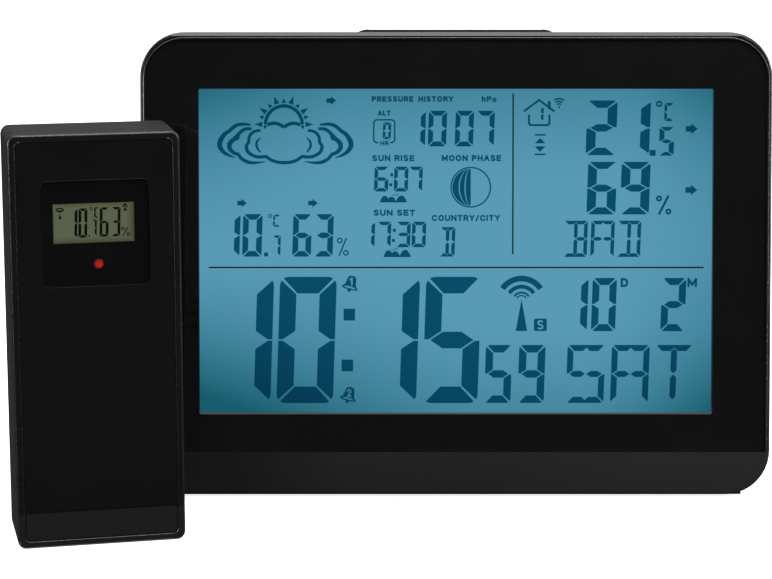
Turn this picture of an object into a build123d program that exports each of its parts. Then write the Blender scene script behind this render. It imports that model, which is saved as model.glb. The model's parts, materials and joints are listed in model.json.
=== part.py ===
"""Home weather station: a tabletop console that leans on a fold-out foot, and its wireless outdoor sensor.

Each unit is drawn on its own front plane: x to the viewer's right, y up the face, and depth measured
rearward from the face. The frame has +Z up and its origin on the table, under the middle of the set.
"""

import os
from math import atan2, cos, degrees, radians, sin

from build123d import *

# ---- Where the two units stand (millimetres and degrees) ----
console_x, console_y = 17.525, -4.103
sensor_x, sensor_y = console_x - 101.65, console_y - 48.7
face_lean = 8.0
sensor_turn = 12.8

# ---- Console, driving dimensions ----
console_width, console_depth = 190.3, 25.0
console_bottom, console_top = -0.6, 139.2
console_corner = 13.5
frame_depth = 11.0
wall = 2.0
rim_radius, back_radius = 0.8, 3.0
top_bevel = 1.2
foot_height = 1.0
side_rim, top_rim = 1.6, 2.3
strip_height = 12.3
lens_thickness, lens_gap = 1.6, 0.15
window_width, window_low, window_high = 155.5, 23.9, 122.2
lcd_depth = 4.8
board_front, board_thickness = 11.2, 1.2
rubber_foot_ys = (7.2, 16.5)
screw_places = [(side * 89.0, y) for side in (-1, 1) for y in (12.0, 69.0, 124.0)]

# ---- Console, keys ----
key_names = ["mode", "set", "up", "down", "alarm", "channel"]
key_row_y, key_pitch = 113.0, 25.0
key_width, key_height = 12.0, 6.0
key_travel = 0.6
snooze_width, snooze_front, snooze_back, snooze_rise = 61.0, 12.8, 20.8, 1.3
reset_x, reset_y, reset_travel = 36.0, 101.0, 0.4

# ---- Console, battery bay and fold-out foot ----
cell_radius, cell_length = 5.25, 44.5
cell_ys = [64.5, 75.5, 86.5]
cell_depth = 18.0
bay_width, bay_low, bay_high = 50.0, 58.5, 92.5
hinge_y, hinge_depth = 9.5, 23.1
foot_width, foot_length, foot_thickness = 74.0, 38.0, 2.8
pin_radius, pin_clearance = 1.2, 0.05

# ---- Outdoor sensor, driving dimensions ----
sensor_width, sensor_height, sensor_depth = 47.6, 117.7, 25.0
sensor_corner = 2.5
sensor_front_depth = 9.0
sensor_wall = 1.8
panel_inset = 2.1
sensor_strip_top = 10.3
eye_width, eye_height, eye_y = 30.0, 29.7, 89.75
aperture_width, aperture_height, aperture_x, aperture_y = 22.5, 11.1, -0.3, 92.4
led_x, led_y = 1.0, 80.6
sensor_cell_radius, sensor_cell_length = 7.25, 50.5
sensor_cell_depth = 15.4
sensor_bay_width, sensor_bay_low, sensor_bay_high = 30.4, 6.5, 63.5


lean, turn = radians(face_lean), radians(sensor_turn)
face_level = foot_height - console_bottom * cos(lean)
FACE = Plane((console_x, console_y, face_level), x_dir=(1, 0, 0), z_dir=(0, -cos(lean), sin(lean)))
SENSOR = Plane((sensor_x, sensor_y, 0), x_dir=(cos(turn), sin(turn), 0), z_dir=(sin(turn), -cos(turn), 0))
TOWARDS_VIEWER = Axis(FACE.origin, FACE.z_dir)
SENSOR_FRONT = Axis(SENSOR.origin, SENSOR.z_dir)
HINGE = Plane(FACE.from_local_coords((0, hinge_y, -hinge_depth)), x_dir=FACE.x_dir, z_dir=FACE.y_dir)
LOW, MIDDLE, HIGH = Align.MIN, Align.CENTER, Align.MAX


# ---- Shapes that repeat ----
def block(unit, near, far, x, y, width, height, radius=0.0, mode=Mode.ADD):
    """A plate of a unit, from depth near to depth far, centred on x and y of the unit's face."""
    with BuildSketch(unit.offset(-near)) as outline:
        with Locations((x, y)):
            if radius:
                RectangleRounded(width, height, radius)
            else:
                Rectangle(width, height)
    extrude(outline.sketch, amount=near - far, mode=mode)


def post(unit, near, far, x, y, radius, mode=Mode.ADD):
    """A round post or hole of a unit, from depth near to depth far."""
    with BuildSketch(unit.offset(-near)) as outline:
        with Locations((x, y)):
            Circle(radius)
    extrude(outline.sketch, amount=near - far, mode=mode)


def span(unit, near, far, left, right, low, high, radius=0.0, mode=Mode.ADD):
    """A plate given by its four sides instead of its centre."""
    block(unit, near, far, (left + right) / 2, (low + high) / 2, right - left, high - low, radius, mode)


def crossbar(unit, x0, x1, y, depth, radius, mode=Mode.ADD):
    """A round bar or hole that runs across a unit, from x0 to x1."""
    with BuildSketch(side_plane(unit, x0, y, depth)) as outline:
        Circle(radius)
    extrude(outline.sketch, amount=x1 - x0, mode=mode)


def side_plane(unit, x, y, depth):
    """A plane across a unit at x, whose normal points to the viewer's right."""
    return Plane(unit.from_local_coords((x, y, -depth)), x_dir=unit.y_dir, z_dir=unit.x_dir)


def cut_below(level):
    """Takes away what lies under a level plane, so that a leaning housing gets a level underside."""
    reach = 2 * console_width
    with Locations((0, 0, level)):
        Box(reach, reach, reach, align=(MIDDLE, MIDDLE, HIGH), mode=Mode.SUBTRACT)


def keyhole(unit, thickness, depth, x, y, head_radius, shank_radius, drop):
    """A wall-mounting keyhole through the back wall: a round entry with a narrow slot above it."""
    post(unit, depth - thickness, depth, x, y, head_radius, Mode.SUBTRACT)
    slot_middle = y + drop / 2
    block(unit, depth - thickness, depth, x, slot_middle, 2 * shank_radius, drop, 0, Mode.SUBTRACT)
    post(unit, depth - thickness, depth, x, y + drop, shank_radius, Mode.SUBTRACT)


def coil_spring(start, direction, coil_radius, tip_radius, height, turns, wire_radius):
    """A spring or helical aerial, wound from its wide end at start along a direction."""
    cone = degrees(atan2(tip_radius - coil_radius, height))
    with BuildLine() as path:
        Helix(height / turns, height, coil_radius, center=start, direction=direction, cone_angle=cone)
    with BuildSketch(path.line ^ 0) as section:
        Circle(wire_radius)
    sweep(section.sketch, path=path.line, is_frenet=True)


# ---- Console outlines, drawn into whichever sketch is open ----
def console_outline(inset=0.0):
    height = console_top - console_bottom
    with Locations((0, (console_bottom + console_top) / 2)):
        RectangleRounded(console_width - 2 * inset, height - 2 * inset, console_corner - inset)


def lens_outline(gap=0.0):
    lens_top = console_top - top_rim - gap
    with Locations((0, lens_top / 2)):
        RectangleRounded(console_width - 2 * (side_rim + gap), lens_top, console_corner - top_rim)
    above(strip_height + gap)


def above(level, mode=Mode.INTERSECT):
    """Keeps only what lies above a level of the open sketch."""
    with Locations((0, level)):
        Rectangle(console_width, console_top, align=(MIDDLE, LOW), mode=mode)


pieces = {}

# ==== Console: front frame, with the satin strip, the lens seat and the screw bosses ====
lens_seat = lens_thickness + 0.1
shelf_back = 3.4
window_y = (window_low + window_high) / 2
window_height = window_high - window_low
shield_wall = 1.4

with BuildPart() as frame_hollow:
    with BuildSketch(FACE.offset(-shelf_back)):
        console_outline(wall)
    extrude(amount=shelf_back - frame_depth)
    cut_below(foot_height + wall)

with BuildPart() as front_frame:
    with BuildSketch(FACE):
        console_outline()
    extrude(amount=-frame_depth)
    fillet(front_frame.faces().sort_by(TOWARDS_VIEWER)[-1].edges(), rim_radius)
    with BuildSketch(side_plane(FACE, -console_width / 2, console_top, 0)):
        with BuildLine():
            Polyline((-top_bevel - 1, 1), (1, -top_bevel - 1), (1, 1), close=True)
        make_face()
    extrude(amount=console_width, mode=Mode.SUBTRACT)
    chamfer(front_frame.faces().sort_by(TOWARDS_VIEWER)[0].edges(), 0.3)
    cut_below(foot_height)
    add(frame_hollow.part, mode=Mode.SUBTRACT)
    block(FACE, shelf_back, lcd_depth - 0.1, 0, window_y, window_width + 2 * shield_wall,
          window_height + 2 * shield_wall)
    with BuildSketch(FACE):
        lens_outline()
    extrude(amount=-lens_seat, mode=Mode.SUBTRACT)
    with BuildSketch(FACE.offset(-lens_seat)) as window_front:
        with Locations((0, window_y)):
            Rectangle(window_width + 0.8, window_height + 0.8)
    with BuildSketch(FACE.offset(-lcd_depth)) as window_back:
        with Locations((0, window_y)):
            Rectangle(window_width, window_height)
    loft([window_front.sketch.face(), window_back.sketch.face()], mode=Mode.SUBTRACT)
    for x, y in screw_places:
        post(FACE, shelf_back - 0.5, frame_depth, x, y, 3.2)
        post(FACE, shelf_back + 1, frame_depth, x, y, 1.3, Mode.SUBTRACT)
    cut_below(foot_height)
    for x in (-70, 70):
        with Locations((console_x + x, console_y + rubber_foot_ys[0], foot_height)):
            Box(34.2, 6.2, 0.6, align=(MIDDLE, MIDDLE, LOW), mode=Mode.SUBTRACT)
pieces["front_frame"] = front_frame

with BuildPart() as front_lens:
    with BuildSketch(FACE):
        lens_outline(lens_gap)
    extrude(amount=-lens_thickness)
    chamfer(front_lens.faces().sort_by(TOWARDS_VIEWER)[-1].edges(), 0.25)
pieces["front_lens"] = front_lens

# ==== Console: display stack, from the front glass back to the reflector ====
glass_low, glass_ledge, glass_high = 20.6, 125.4, 128.9
glass_half = 81.5

with BuildPart() as lcd_polarizers:
    span(FACE, lcd_depth, lcd_depth + 0.2, -glass_half, glass_half, glass_low, glass_ledge)
    span(FACE, lcd_depth + 2.4, lcd_depth + 2.6, -glass_half, glass_half, glass_low, glass_ledge)
pieces["lcd_polarizers"] = lcd_polarizers

with BuildPart() as lcd_glass:
    span(FACE, lcd_depth + 0.2, lcd_depth + 1.3, -glass_half, glass_half, glass_low, glass_high)
    span(FACE, lcd_depth + 1.3, lcd_depth + 2.4, -glass_half, glass_half, glass_low, glass_ledge)
pieces["lcd_glass"] = lcd_glass

guide_front, guide_back = lcd_depth + 2.65, lcd_depth + 4.95
with BuildPart() as light_guide:
    span(FACE, guide_front, guide_back, -80.8, 80.8, 21.5, 124.4)
pieces["light_guide"] = light_guide

with BuildPart() as reflector_sheet:
    span(FACE, guide_back + 0.05, guide_back + 0.25, -80.8, 80.8, 21.5, 124.4)
pieces["reflector_sheet"] = reflector_sheet

with BuildPart() as backlight_bar:
    span(FACE, guide_front, guide_back, -83.4, -82.6, 28, 118)
    for y in range(32, 118, 12):
        block(FACE, guide_front + 0.2, guide_back - 0.2, -81.85, y, 1.5, 3.5)
pieces["backlight_bar"] = backlight_bar

carrier_back = 10.8
with BuildPart() as lcd_carrier:
    span(FACE, lcd_depth + 0.05, carrier_back, -85.2, 84.6, 19.0, 130.4, 1.0)
    span(FACE, lcd_depth + 0.05, carrier_back - 0.7, -84.0, 83.4, 20.2, 129.2, mode=Mode.SUBTRACT)
    span(FACE, carrier_back - 0.7, carrier_back, -71, 71, 125.7, 128.7, mode=Mode.SUBTRACT)
pieces["lcd_carrier"] = lcd_carrier

with BuildPart() as contact_strip:
    span(FACE, lcd_depth + 1.3, board_front, -70, 70, 126.0, 128.4)
pieces["contact_strip"] = contact_strip

# ==== Console: circuit boards and what is on them ====
board_back = board_front + board_thickness
switch_back = board_back + 3.1
key_xs = [key_pitch * (i - (len(key_names) - 1) / 2) for i in range(len(key_names))]
snooze_switch_depth = board_back + 2.4

with BuildPart() as main_board:
    span(FACE, board_front, board_back, -80, 80, 95.0, 131.0)
    for x in (-76, 76):
        for y in (99, 127):
            post(FACE, board_front, board_back, x, y, 1.3, Mode.SUBTRACT)
pieces["main_board"] = main_board

with BuildPart() as board_screws:
    for x in (-76, 76):
        for y in (99, 127):
            post(FACE, carrier_back, board_back, x, y, 1.2)
            post(FACE, board_back, board_back + 1.2, x, y, 2.2)
pieces["board_screws"] = board_screws

with BuildPart() as board_components:
    post(FACE, board_back, board_back + 1.6, 0, 103, 7.0)
    block(FACE, board_back, board_back + 3.2, 22, 101, 10.5, 3.8, 1.8)
    for x in (-30, 47, 52, 57):
        post(FACE, board_back, board_back + 6.0, x, 101, 2.0)
    for x in range(-68, -36, 4):
        block(FACE, board_back, board_back + 0.6, x, 105, 2.0, 1.2)
    for x in range(30, 44, 4):
        block(FACE, board_back, board_back + 0.6, x, 105, 2.0, 1.2)
pieces["board_components"] = board_components

with BuildPart() as switch_bodies:
    for x in key_xs:
        block(FACE, board_back, switch_back, x, key_row_y, 6.0, 6.0, 0.4)
        post(FACE, board_back + 1.4, switch_back, x, key_row_y, 1.9, Mode.SUBTRACT)
    block(FACE, board_back, switch_back, reset_x, reset_y, 4.4, 4.4, 0.3)
    post(FACE, board_back + 1.4, switch_back, reset_x, reset_y, 1.5, Mode.SUBTRACT)
    span(FACE, board_back, board_back + 4.8, -3.0, 3.0, 127.0, 130.8)
    with BuildSketch(Plane(FACE.from_local_coords((0, 130.8, -snooze_switch_depth)),
                           x_dir=FACE.x_dir, z_dir=-FACE.y_dir)):
        Circle(1.5)
    extrude(amount=1.6, mode=Mode.SUBTRACT)
pieces["switch_bodies"] = switch_bodies

with BuildPart() as radio_module:
    span(FACE, 15.2, 16.2, -76, -46, 82.0, 98.0)
    block(FACE, 16.2, 17.8, -66, 88, 6.0, 5.0)
    block(FACE, 16.2, 19.2, -55, 88, 8.0, 3.6, 1.7)
    for x in (-64.81, -62.27, -59.73, -57.19):
        block(FACE, board_back, 15.2, x, 96.4, 0.64, 0.64)
pieces["radio_module"] = radio_module

with BuildPart() as radio_antenna:
    coil_spring(FACE.from_local_coords((-49, 81.4, -18.2)), -FACE.y_dir, 2.4, 2.4, 20.0, 8, 0.4)
pieces["radio_antenna"] = radio_antenna

ferrite_left, ferrite_right, ferrite_y, ferrite_depth, ferrite_radius = -83.0, -46.0, 11.5, 14.0, 4.0
with BuildPart() as ferrite_rod:
    crossbar(FACE, ferrite_left, ferrite_right, ferrite_y, ferrite_depth, ferrite_radius)
pieces["ferrite_rod"] = ferrite_rod

with BuildPart() as ferrite_coil:
    crossbar(FACE, -72, -54, ferrite_y, ferrite_depth, 4.9)
    crossbar(FACE, -73, -72, ferrite_y, ferrite_depth, 5.6)
    crossbar(FACE, -54, -53, ferrite_y, ferrite_depth, 5.6)
    crossbar(FACE, -73, -53, ferrite_y, ferrite_depth, ferrite_radius, Mode.SUBTRACT)
pieces["ferrite_coil"] = ferrite_coil

buzzer_x, buzzer_y, buzzer_radius = 58.0, 74.0, 10.0
with BuildPart() as buzzer:
    post(FACE, 20.3, 22.9, buzzer_x, buzzer_y, buzzer_radius)
    post(FACE, 20.0, 20.3, buzzer_x, buzzer_y, 7.0)
pieces["buzzer"] = buzzer

probe_x, probe_y = -70.0, 32.0
with BuildPart() as climate_probe:
    block(FACE, 17.4, 18.4, probe_x, probe_y, 12.0, 15.0)
    block(FACE, 18.4, 19.4, probe_x, probe_y + 2, 3.0, 3.0)
    post(FACE, 18.4, 20.6, probe_x, probe_y - 4, 1.2)
pieces["climate_probe"] = climate_probe

jack_x, jack_y, jack_bore = 70.0, 30.0, 1.85
with BuildPart() as power_board:
    block(FACE, board_front, board_back, jack_x, jack_y, 18.0, 20.0)
pieces["power_board"] = power_board

with BuildPart() as dc_jack:
    block(FACE, board_back, console_depth - wall - 0.1, jack_x, jack_y, 9.0, 9.0)
    post(FACE, console_depth - wall - 0.1, console_depth - 0.5, jack_x, jack_y, 3.2)
    post(FACE, 15.5, console_depth, jack_x, jack_y, jack_bore, Mode.SUBTRACT)
    post(FACE, 15.0, console_depth - 1.8, jack_x, jack_y, 0.65)
pieces["dc_jack"] = dc_jack

# ==== Console: rear housing, with the battery bay, the foot recess and the wall-mounting keyholes ====
back_inside = console_depth - wall
door_seat = console_depth - 1.7
door_half, door_low, door_high = 28.5, 55.6, 94.6
hook_xs = (-16.0, 16.0)
recess_half = foot_width / 2 + 0.3
recess_low, recess_high = hinge_y - 2.2, hinge_y + foot_length + 0.6
jack_hole = 3.5
head_seat = 16.5
keyhole_places = [(-70.0, 123.5), (70.0, 123.5)]


def door_opening(unit, half, low, high, seat, back, hooks):
    """The rebate that a battery door lies in, with pockets for its hooks and its thumb tab."""
    span(unit, seat, back, -half, half, low, high, 1.5, Mode.SUBTRACT)
    for x in hooks:
        span(unit, seat - 2.3, seat - 0.1, x - 3.3, x + 3.3, low - 1.6, low + 4.4, mode=Mode.SUBTRACT)
        span(unit, seat - 0.2, seat + 0.2, x - 3.3, x + 3.3, low, low + 4.4, mode=Mode.SUBTRACT)
    block(unit, seat + 0.3, back, 0, high, 10.6, 4.6, 2.0, Mode.SUBTRACT)


def battery_door(unit, half, low, high, seat, back, hooks):
    """A battery door, with two hooks along its low edge and a thumb tab on its high edge."""
    gap = 0.3
    span(unit, seat + 0.1, back, -half + gap, half - gap, low + gap, high - gap, 1.2)
    for x in hooks:
        block(unit, seat - 1.4, seat + 0.1, x, low + 1.1, 6.0, 1.4)
        block(unit, seat - 1.4, seat - 0.4, x, low + 0.3, 6.0, 3.0)
    block(unit, seat + 0.6, back, 0, high, 10.0, 4.0, 1.7)
    for step in range(4):
        block(unit, back, back + 0.3, 0, high - 3.2 - 1.6 * step, 10.0, 0.7)


with BuildPart() as rear_hollow:
    with BuildSketch(FACE.offset(-frame_depth)):
        console_outline(wall)
    extrude(amount=frame_depth - back_inside)
    cut_below(foot_height + wall)

with BuildPart() as rear_housing:
    with BuildSketch(FACE.offset(-frame_depth)):
        console_outline()
    extrude(amount=frame_depth - console_depth)
    fillet(rear_housing.faces().sort_by(TOWARDS_VIEWER)[0].edges(), back_radius)
    chamfer(rear_housing.faces().sort_by(TOWARDS_VIEWER)[-1].edges(), 0.3)
    cut_below(foot_height)
    add(rear_hollow.part, mode=Mode.SUBTRACT)
    # Material behind the back wall: bay box, door ledge, foot recess, hinge blocks and screw columns
    span(FACE, 11.4, back_inside + 0.5, -bay_width / 2 - 1.4, bay_width / 2 + 1.4,
         bay_low - 1.4, bay_high + 1.4)
    span(FACE, door_seat - 3.0, back_inside + 0.2, -door_half - 2, door_half + 2, door_low - 2.4, door_high + 2.0)
    span(FACE, 19.6, back_inside + 0.2, -recess_half - 4.7, recess_half + 4.7, 3.8, recess_high + 1.6)
    for x, y in screw_places:
        post(FACE, frame_depth, back_inside + 0.5, x, y, 4.2)
    post(FACE, 19.8, back_inside + 0.2, buzzer_x, buzzer_y, buzzer_radius + 1.4)
    for side in (-1, 1):
        post(FACE, 18.4, back_inside + 0.2, probe_x + side * 4.2, probe_y - 5, 1.3)
    for x in (-81.5, -75.5, -49.0):
        span(FACE, ferrite_depth - 2, back_inside + 0.2, x - 0.8, x + 0.8, 4.0, ferrite_y + 1.0)
    crossbar(FACE, ferrite_left, ferrite_right, ferrite_y, ferrite_depth, ferrite_radius, Mode.SUBTRACT)
    cut_below(foot_height)
    # Openings
    span(FACE, 12.6, console_depth, -bay_width / 2, bay_width / 2, bay_low, bay_high, mode=Mode.SUBTRACT)
    door_opening(FACE, door_half, door_low, door_high, door_seat, console_depth, hook_xs)
    span(FACE, 21.3, console_depth, -recess_half, recess_half, recess_low, recess_high, mode=Mode.SUBTRACT)
    crossbar(FACE, -recess_half, recess_half, hinge_y, hinge_depth, 2.2, Mode.SUBTRACT)
    post(FACE, 21.6, console_depth, 0, recess_high - 1.0, 5.0, Mode.SUBTRACT)
    pin_hole = pin_radius + pin_clearance
    crossbar(FACE, -foot_width / 2 - 2.9, foot_width / 2 + 2.9, hinge_y, hinge_depth, pin_hole, Mode.SUBTRACT)
    for x, y in screw_places:
        post(FACE, frame_depth, console_depth, x, y, 1.45, Mode.SUBTRACT)
        post(FACE, head_seat, console_depth, x, y, 2.8, Mode.SUBTRACT)
    post(FACE, 19.8, back_inside, buzzer_x, buzzer_y, buzzer_radius + 0.1, Mode.SUBTRACT)
    post(FACE, back_inside, console_depth, buzzer_x, buzzer_y, 0.8, Mode.SUBTRACT)
    with BuildSketch(FACE.offset(-back_inside)):
        with Locations((buzzer_x, buzzer_y)):
            with PolarLocations(4.0, 6):
                Circle(0.8)
    extrude(amount=-wall, mode=Mode.SUBTRACT)
    post(FACE, back_inside - 0.5, console_depth, jack_x, jack_y, jack_hole, Mode.SUBTRACT)
    for row in range(6):
        block(FACE, back_inside - 0.5, console_depth, probe_x, probe_y - 8.5 + 3.4 * row, 20.0, 1.6, 0.75,
              Mode.SUBTRACT)
    for x, y in keyhole_places:
        keyhole(FACE, wall, console_depth, x, y, 4.0, 2.0, 5.5)
    for x in key_xs:
        block(FACE, back_inside - 0.5, console_depth, x, key_row_y, key_width + 0.6, key_height + 0.6, 3.2,
              Mode.SUBTRACT)
    post(FACE, back_inside, console_depth, reset_x, reset_y, 1.0, Mode.SUBTRACT)
    span(FACE, snooze_front - 0.3, snooze_back + 0.3, -snooze_width / 2 - 0.3, snooze_width / 2 + 0.3,
         console_top - wall - 0.5, console_top + 1, mode=Mode.SUBTRACT)
    for x in (-70, 70):
        with Locations((console_x + x, console_y + rubber_foot_ys[1], foot_height)):
            Box(34.2, 6.2, 0.6, align=(MIDDLE, MIDDLE, LOW), mode=Mode.SUBTRACT)
pieces["rear_housing"] = rear_housing

with BuildPart() as housing_screws:
    for x, y in screw_places:
        post(FACE, shelf_back + 1.2, 14.0, x, y, 1.25)
        post(FACE, 14.0, head_seat, x, y, 1.4)
        post(FACE, head_seat, 18.3, x, y, 2.5)
        block(FACE, 17.4, 18.3, x, y, 3.4, 0.7, 0, Mode.SUBTRACT)
        block(FACE, 17.4, 18.3, x, y, 0.7, 3.4, 0, Mode.SUBTRACT)
pieces["housing_screws"] = housing_screws

with BuildPart() as rubber_feet:
    for x in (-70, 70):
        for y in rubber_foot_ys:
            with Locations((console_x + x, console_y + y, 0)):
                Box(34.0, 6.0, foot_height + 0.55, align=(MIDDLE, MIDDLE, LOW))
pieces["rubber_feet"] = rubber_feet

# ==== Console: batteries, contacts and door ====
contact_thickness = 0.4
spring_length = bay_width - cell_length - 2 * contact_thickness

with BuildPart() as battery_cells:
    for i, y in enumerate(cell_ys):
        end = 1 if i % 2 == 0 else -1
        tip = end * (bay_width / 2 - contact_thickness)
        crossbar(FACE, *sorted((tip - end * cell_length, tip - end * 0.9)), y, cell_depth, cell_radius)
        crossbar(FACE, *sorted((tip - end * 0.95, tip)), y, cell_depth, 1.9)
pieces["battery_cells"] = battery_cells

with BuildPart() as battery_plates:
    plate_middle = (bay_width - contact_thickness) / 2
    for y in cell_ys:
        for side in (-1, 1):
            block(FACE, 13.6, 22.4, side * plate_middle, y, contact_thickness, 9.2)
pieces["battery_plates"] = battery_plates

with BuildPart() as battery_springs:
    for i, y in enumerate(cell_ys):
        end = 1 if i % 2 == 0 else -1
        base = FACE.from_local_coords((-end * (bay_width / 2 - contact_thickness - 0.4), y, -cell_depth))
        coil_spring(base, FACE.x_dir * end, 3.6, 2.4, spring_length - 0.8, 4, 0.35)
pieces["battery_springs"] = battery_springs

with BuildPart() as console_battery_door:
    battery_door(FACE, door_half, door_low, door_high, door_seat, console_depth, hook_xs)
pieces["console_battery_door"] = console_battery_door

# ==== Console: fold-out foot, drawn open, as it stands ====
with BuildPart() as fold_out_foot:
    with BuildSketch(HINGE.offset(-foot_thickness / 2)):
        with Locations((0, foot_length / 2)):
            Rectangle(foot_width, foot_length)
    extrude(amount=foot_thickness)
    tip_corners = fold_out_foot.edges().filter_by(Axis((0, 0, 0), HINGE.z_dir)).sort_by(Axis.Y)[-2:]
    fillet(tip_corners, 9.0)
    crossbar(FACE, -foot_width / 2, foot_width / 2, hinge_y, hinge_depth, 1.8)
    crossbar(FACE, -foot_width / 2 - 2.5, foot_width / 2 + 2.5, hinge_y, hinge_depth, pin_radius)
    for x in (-24, 0, 24):
        with BuildSketch(HINGE.offset(foot_thickness / 2)) as pocket:
            with Locations((x, foot_length / 2 + 1)):
                RectangleRounded(21, 22, 2)
        extrude(pocket.sketch, amount=-1.3, mode=Mode.SUBTRACT)
pieces["fold_out_foot"] = fold_out_foot

with BuildPart() as foot_pad:
    with BuildSketch(HINGE.offset(-foot_thickness / 2)):
        with Locations((0, foot_length - 4.4)):
            RectangleRounded(54, 5.2, 2)
    extrude(amount=-2.5)
    cut_below(0)
pieces["foot_pad"] = foot_pad

# ==== Console: keys, each with the switch plunger that it pushes ====
plunger_front = switch_back - 0.7
plunger_back = switch_back + 0.9
plunger_gap = 0.02
for name, x in zip(key_names, key_xs):
    with BuildPart() as key:
        block(FACE, back_inside - 1.3, back_inside - 0.1, x, key_row_y, key_width + 2.6, key_height + 2.6, 2.0)
        block(FACE, back_inside - 0.2, console_depth + 0.7, x, key_row_y, key_width, key_height, 2.95)
        fillet(key.faces().sort_by(TOWARDS_VIEWER)[0].edges(), 0.5)
        post(FACE, plunger_back, back_inside - 1.2, x, key_row_y, 2.0)
        post(FACE, plunger_front, plunger_back - plunger_gap, x, key_row_y, 1.7)
    pieces[f"{name}_key"] = key

with BuildPart() as reset_button:
    post(FACE, plunger_front, plunger_back - 0.3, reset_x, reset_y, 1.3)
pieces["reset_button"] = reset_button

snooze_underside = console_top - wall - 0.2
snooze_tip_y = 132.6
with BuildPart() as snooze_key:
    with BuildSketch(FACE.offset(-snooze_front)):
        with BuildLine():
            half, top = snooze_width / 2, console_top + snooze_rise
            ramp = 4.5
            Polyline((-half, snooze_underside), (half, snooze_underside), (half, console_top))
            ThreePointArc((half, console_top), (half - 0.32 * ramp, top - 0.4), (half - ramp, top))
            Line((half - ramp, top), (ramp - half, top))
            ThreePointArc((ramp - half, top), (0.32 * ramp - half, top - 0.4), (-half, console_top))
            Line((-half, console_top), (-half, snooze_underside))
        make_face()
    extrude(amount=snooze_front - snooze_back)
    span(FACE, snooze_front - 0.9, snooze_back + 0.9, -half - 1.2, half + 1.2, snooze_underside - 1.2,
         snooze_underside)
    with BuildSketch(Plane(FACE.from_local_coords((0, snooze_tip_y, -snooze_switch_depth)),
                           x_dir=FACE.x_dir, z_dir=FACE.y_dir)):
        Circle(1.8)
    extrude(amount=snooze_underside - snooze_tip_y)
pieces["snooze_key"] = snooze_key

with BuildPart() as snooze_plunger:
    with BuildSketch(Plane(FACE.from_local_coords((0, 130.0, -snooze_switch_depth)),
                           x_dir=FACE.x_dir, z_dir=FACE.y_dir)):
        Circle(1.3)
    extrude(amount=snooze_tip_y - 130.0)
pieces["snooze_plunger"] = snooze_plunger

# ==== Sensor: front cover, face panel and display ====
sensor_back_inside = sensor_depth - sensor_wall
panel_seat, panel_gap = 1.3, 0.15
eye_front, eye_thickness = 0.5, 1.3
cover_wall = 3.0
sensor_board_front, sensor_board_thickness = 8.0, 1.2
sensor_board_back = sensor_board_front + sensor_board_thickness
sensor_screw_places = [(side * x, y) for side in (-1, 1) for x, y in ((18.9, 12.0), (17.0, 108.5))]


def sensor_outline(inset=0.0, mode=Mode.ADD):
    with Locations((0, sensor_height / 2)):
        RectangleRounded(sensor_width - 2 * inset, sensor_height - 2 * inset, sensor_corner - inset / 2, mode=mode)


with BuildPart() as sensor_front:
    with BuildSketch(SENSOR):
        sensor_outline()
    extrude(amount=-sensor_front_depth)
    fillet(sensor_front.faces().sort_by(SENSOR_FRONT)[-1].edges(), 0.8)
    chamfer(sensor_front.faces().sort_by(SENSOR_FRONT)[0].edges(), 0.3)
    with BuildSketch(SENSOR.offset(-cover_wall)):
        sensor_outline(sensor_wall)
    extrude(amount=cover_wall - sensor_front_depth, mode=Mode.SUBTRACT)
    with BuildSketch(SENSOR):
        sensor_outline(panel_inset)
        above(sensor_strip_top)
    extrude(amount=-panel_seat, mode=Mode.SUBTRACT)
    with BuildSketch(SENSOR):
        sensor_outline(panel_inset)
        sensor_outline(panel_inset + 0.3, Mode.SUBTRACT)
    extrude(amount=-0.4, mode=Mode.SUBTRACT)
    block(SENSOR, 1.0, eye_front + eye_thickness + 0.1, 0, eye_y, eye_width + 0.2, eye_height + 0.2, 1.9,
          Mode.SUBTRACT)
    block(SENSOR, 1.0, cover_wall, aperture_x, aperture_y, aperture_width + 1.2, aperture_height + 1.2,
          mode=Mode.SUBTRACT)
    post(SENSOR, 1.0, cover_wall, led_x, led_y, 1.7, Mode.SUBTRACT)
    for x, y in sensor_screw_places:
        post(SENSOR, cover_wall - 0.5, sensor_front_depth, x, y, 1.9)
        post(SENSOR, cover_wall + 0.5, sensor_front_depth, x, y, 0.8, Mode.SUBTRACT)
pieces["sensor_front"] = sensor_front

with BuildPart() as sensor_face:
    with BuildSketch(SENSOR):
        sensor_outline(panel_inset + panel_gap)
        above(sensor_strip_top + panel_gap)
    extrude(amount=-(panel_seat - 0.1))
    block(SENSOR, 0, panel_seat, 0, eye_y, eye_width + 0.2, eye_height + 0.2, 1.9, Mode.SUBTRACT)
pieces["sensor_face"] = sensor_face

with BuildPart() as sensor_window:
    block(SENSOR, eye_front, eye_front + eye_thickness, 0, eye_y, eye_width, eye_height, 1.8)
    chamfer(sensor_window.faces().sort_by(SENSOR_FRONT)[-1].edges(), 0.2)
pieces["sensor_window"] = sensor_window

lcd_left, lcd_right = aperture_x - 13.5, aperture_x + 13.5
with BuildPart() as sensor_lcd:
    span(SENSOR, cover_wall + 0.1, cover_wall + 1.2, lcd_left, lcd_right, aperture_y - 7.5, aperture_y + 10.0)
    span(SENSOR, cover_wall + 1.2, cover_wall + 2.3, lcd_left, lcd_right, aperture_y - 7.5, aperture_y + 7.0)
pieces["sensor_lcd"] = sensor_lcd

with BuildPart() as sensor_contact_strip:
    span(SENSOR, cover_wall + 1.2, sensor_board_front, lcd_left + 1, lcd_right - 1, aperture_y + 7.6,
         aperture_y + 9.6)
pieces["sensor_contact_strip"] = sensor_contact_strip

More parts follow.
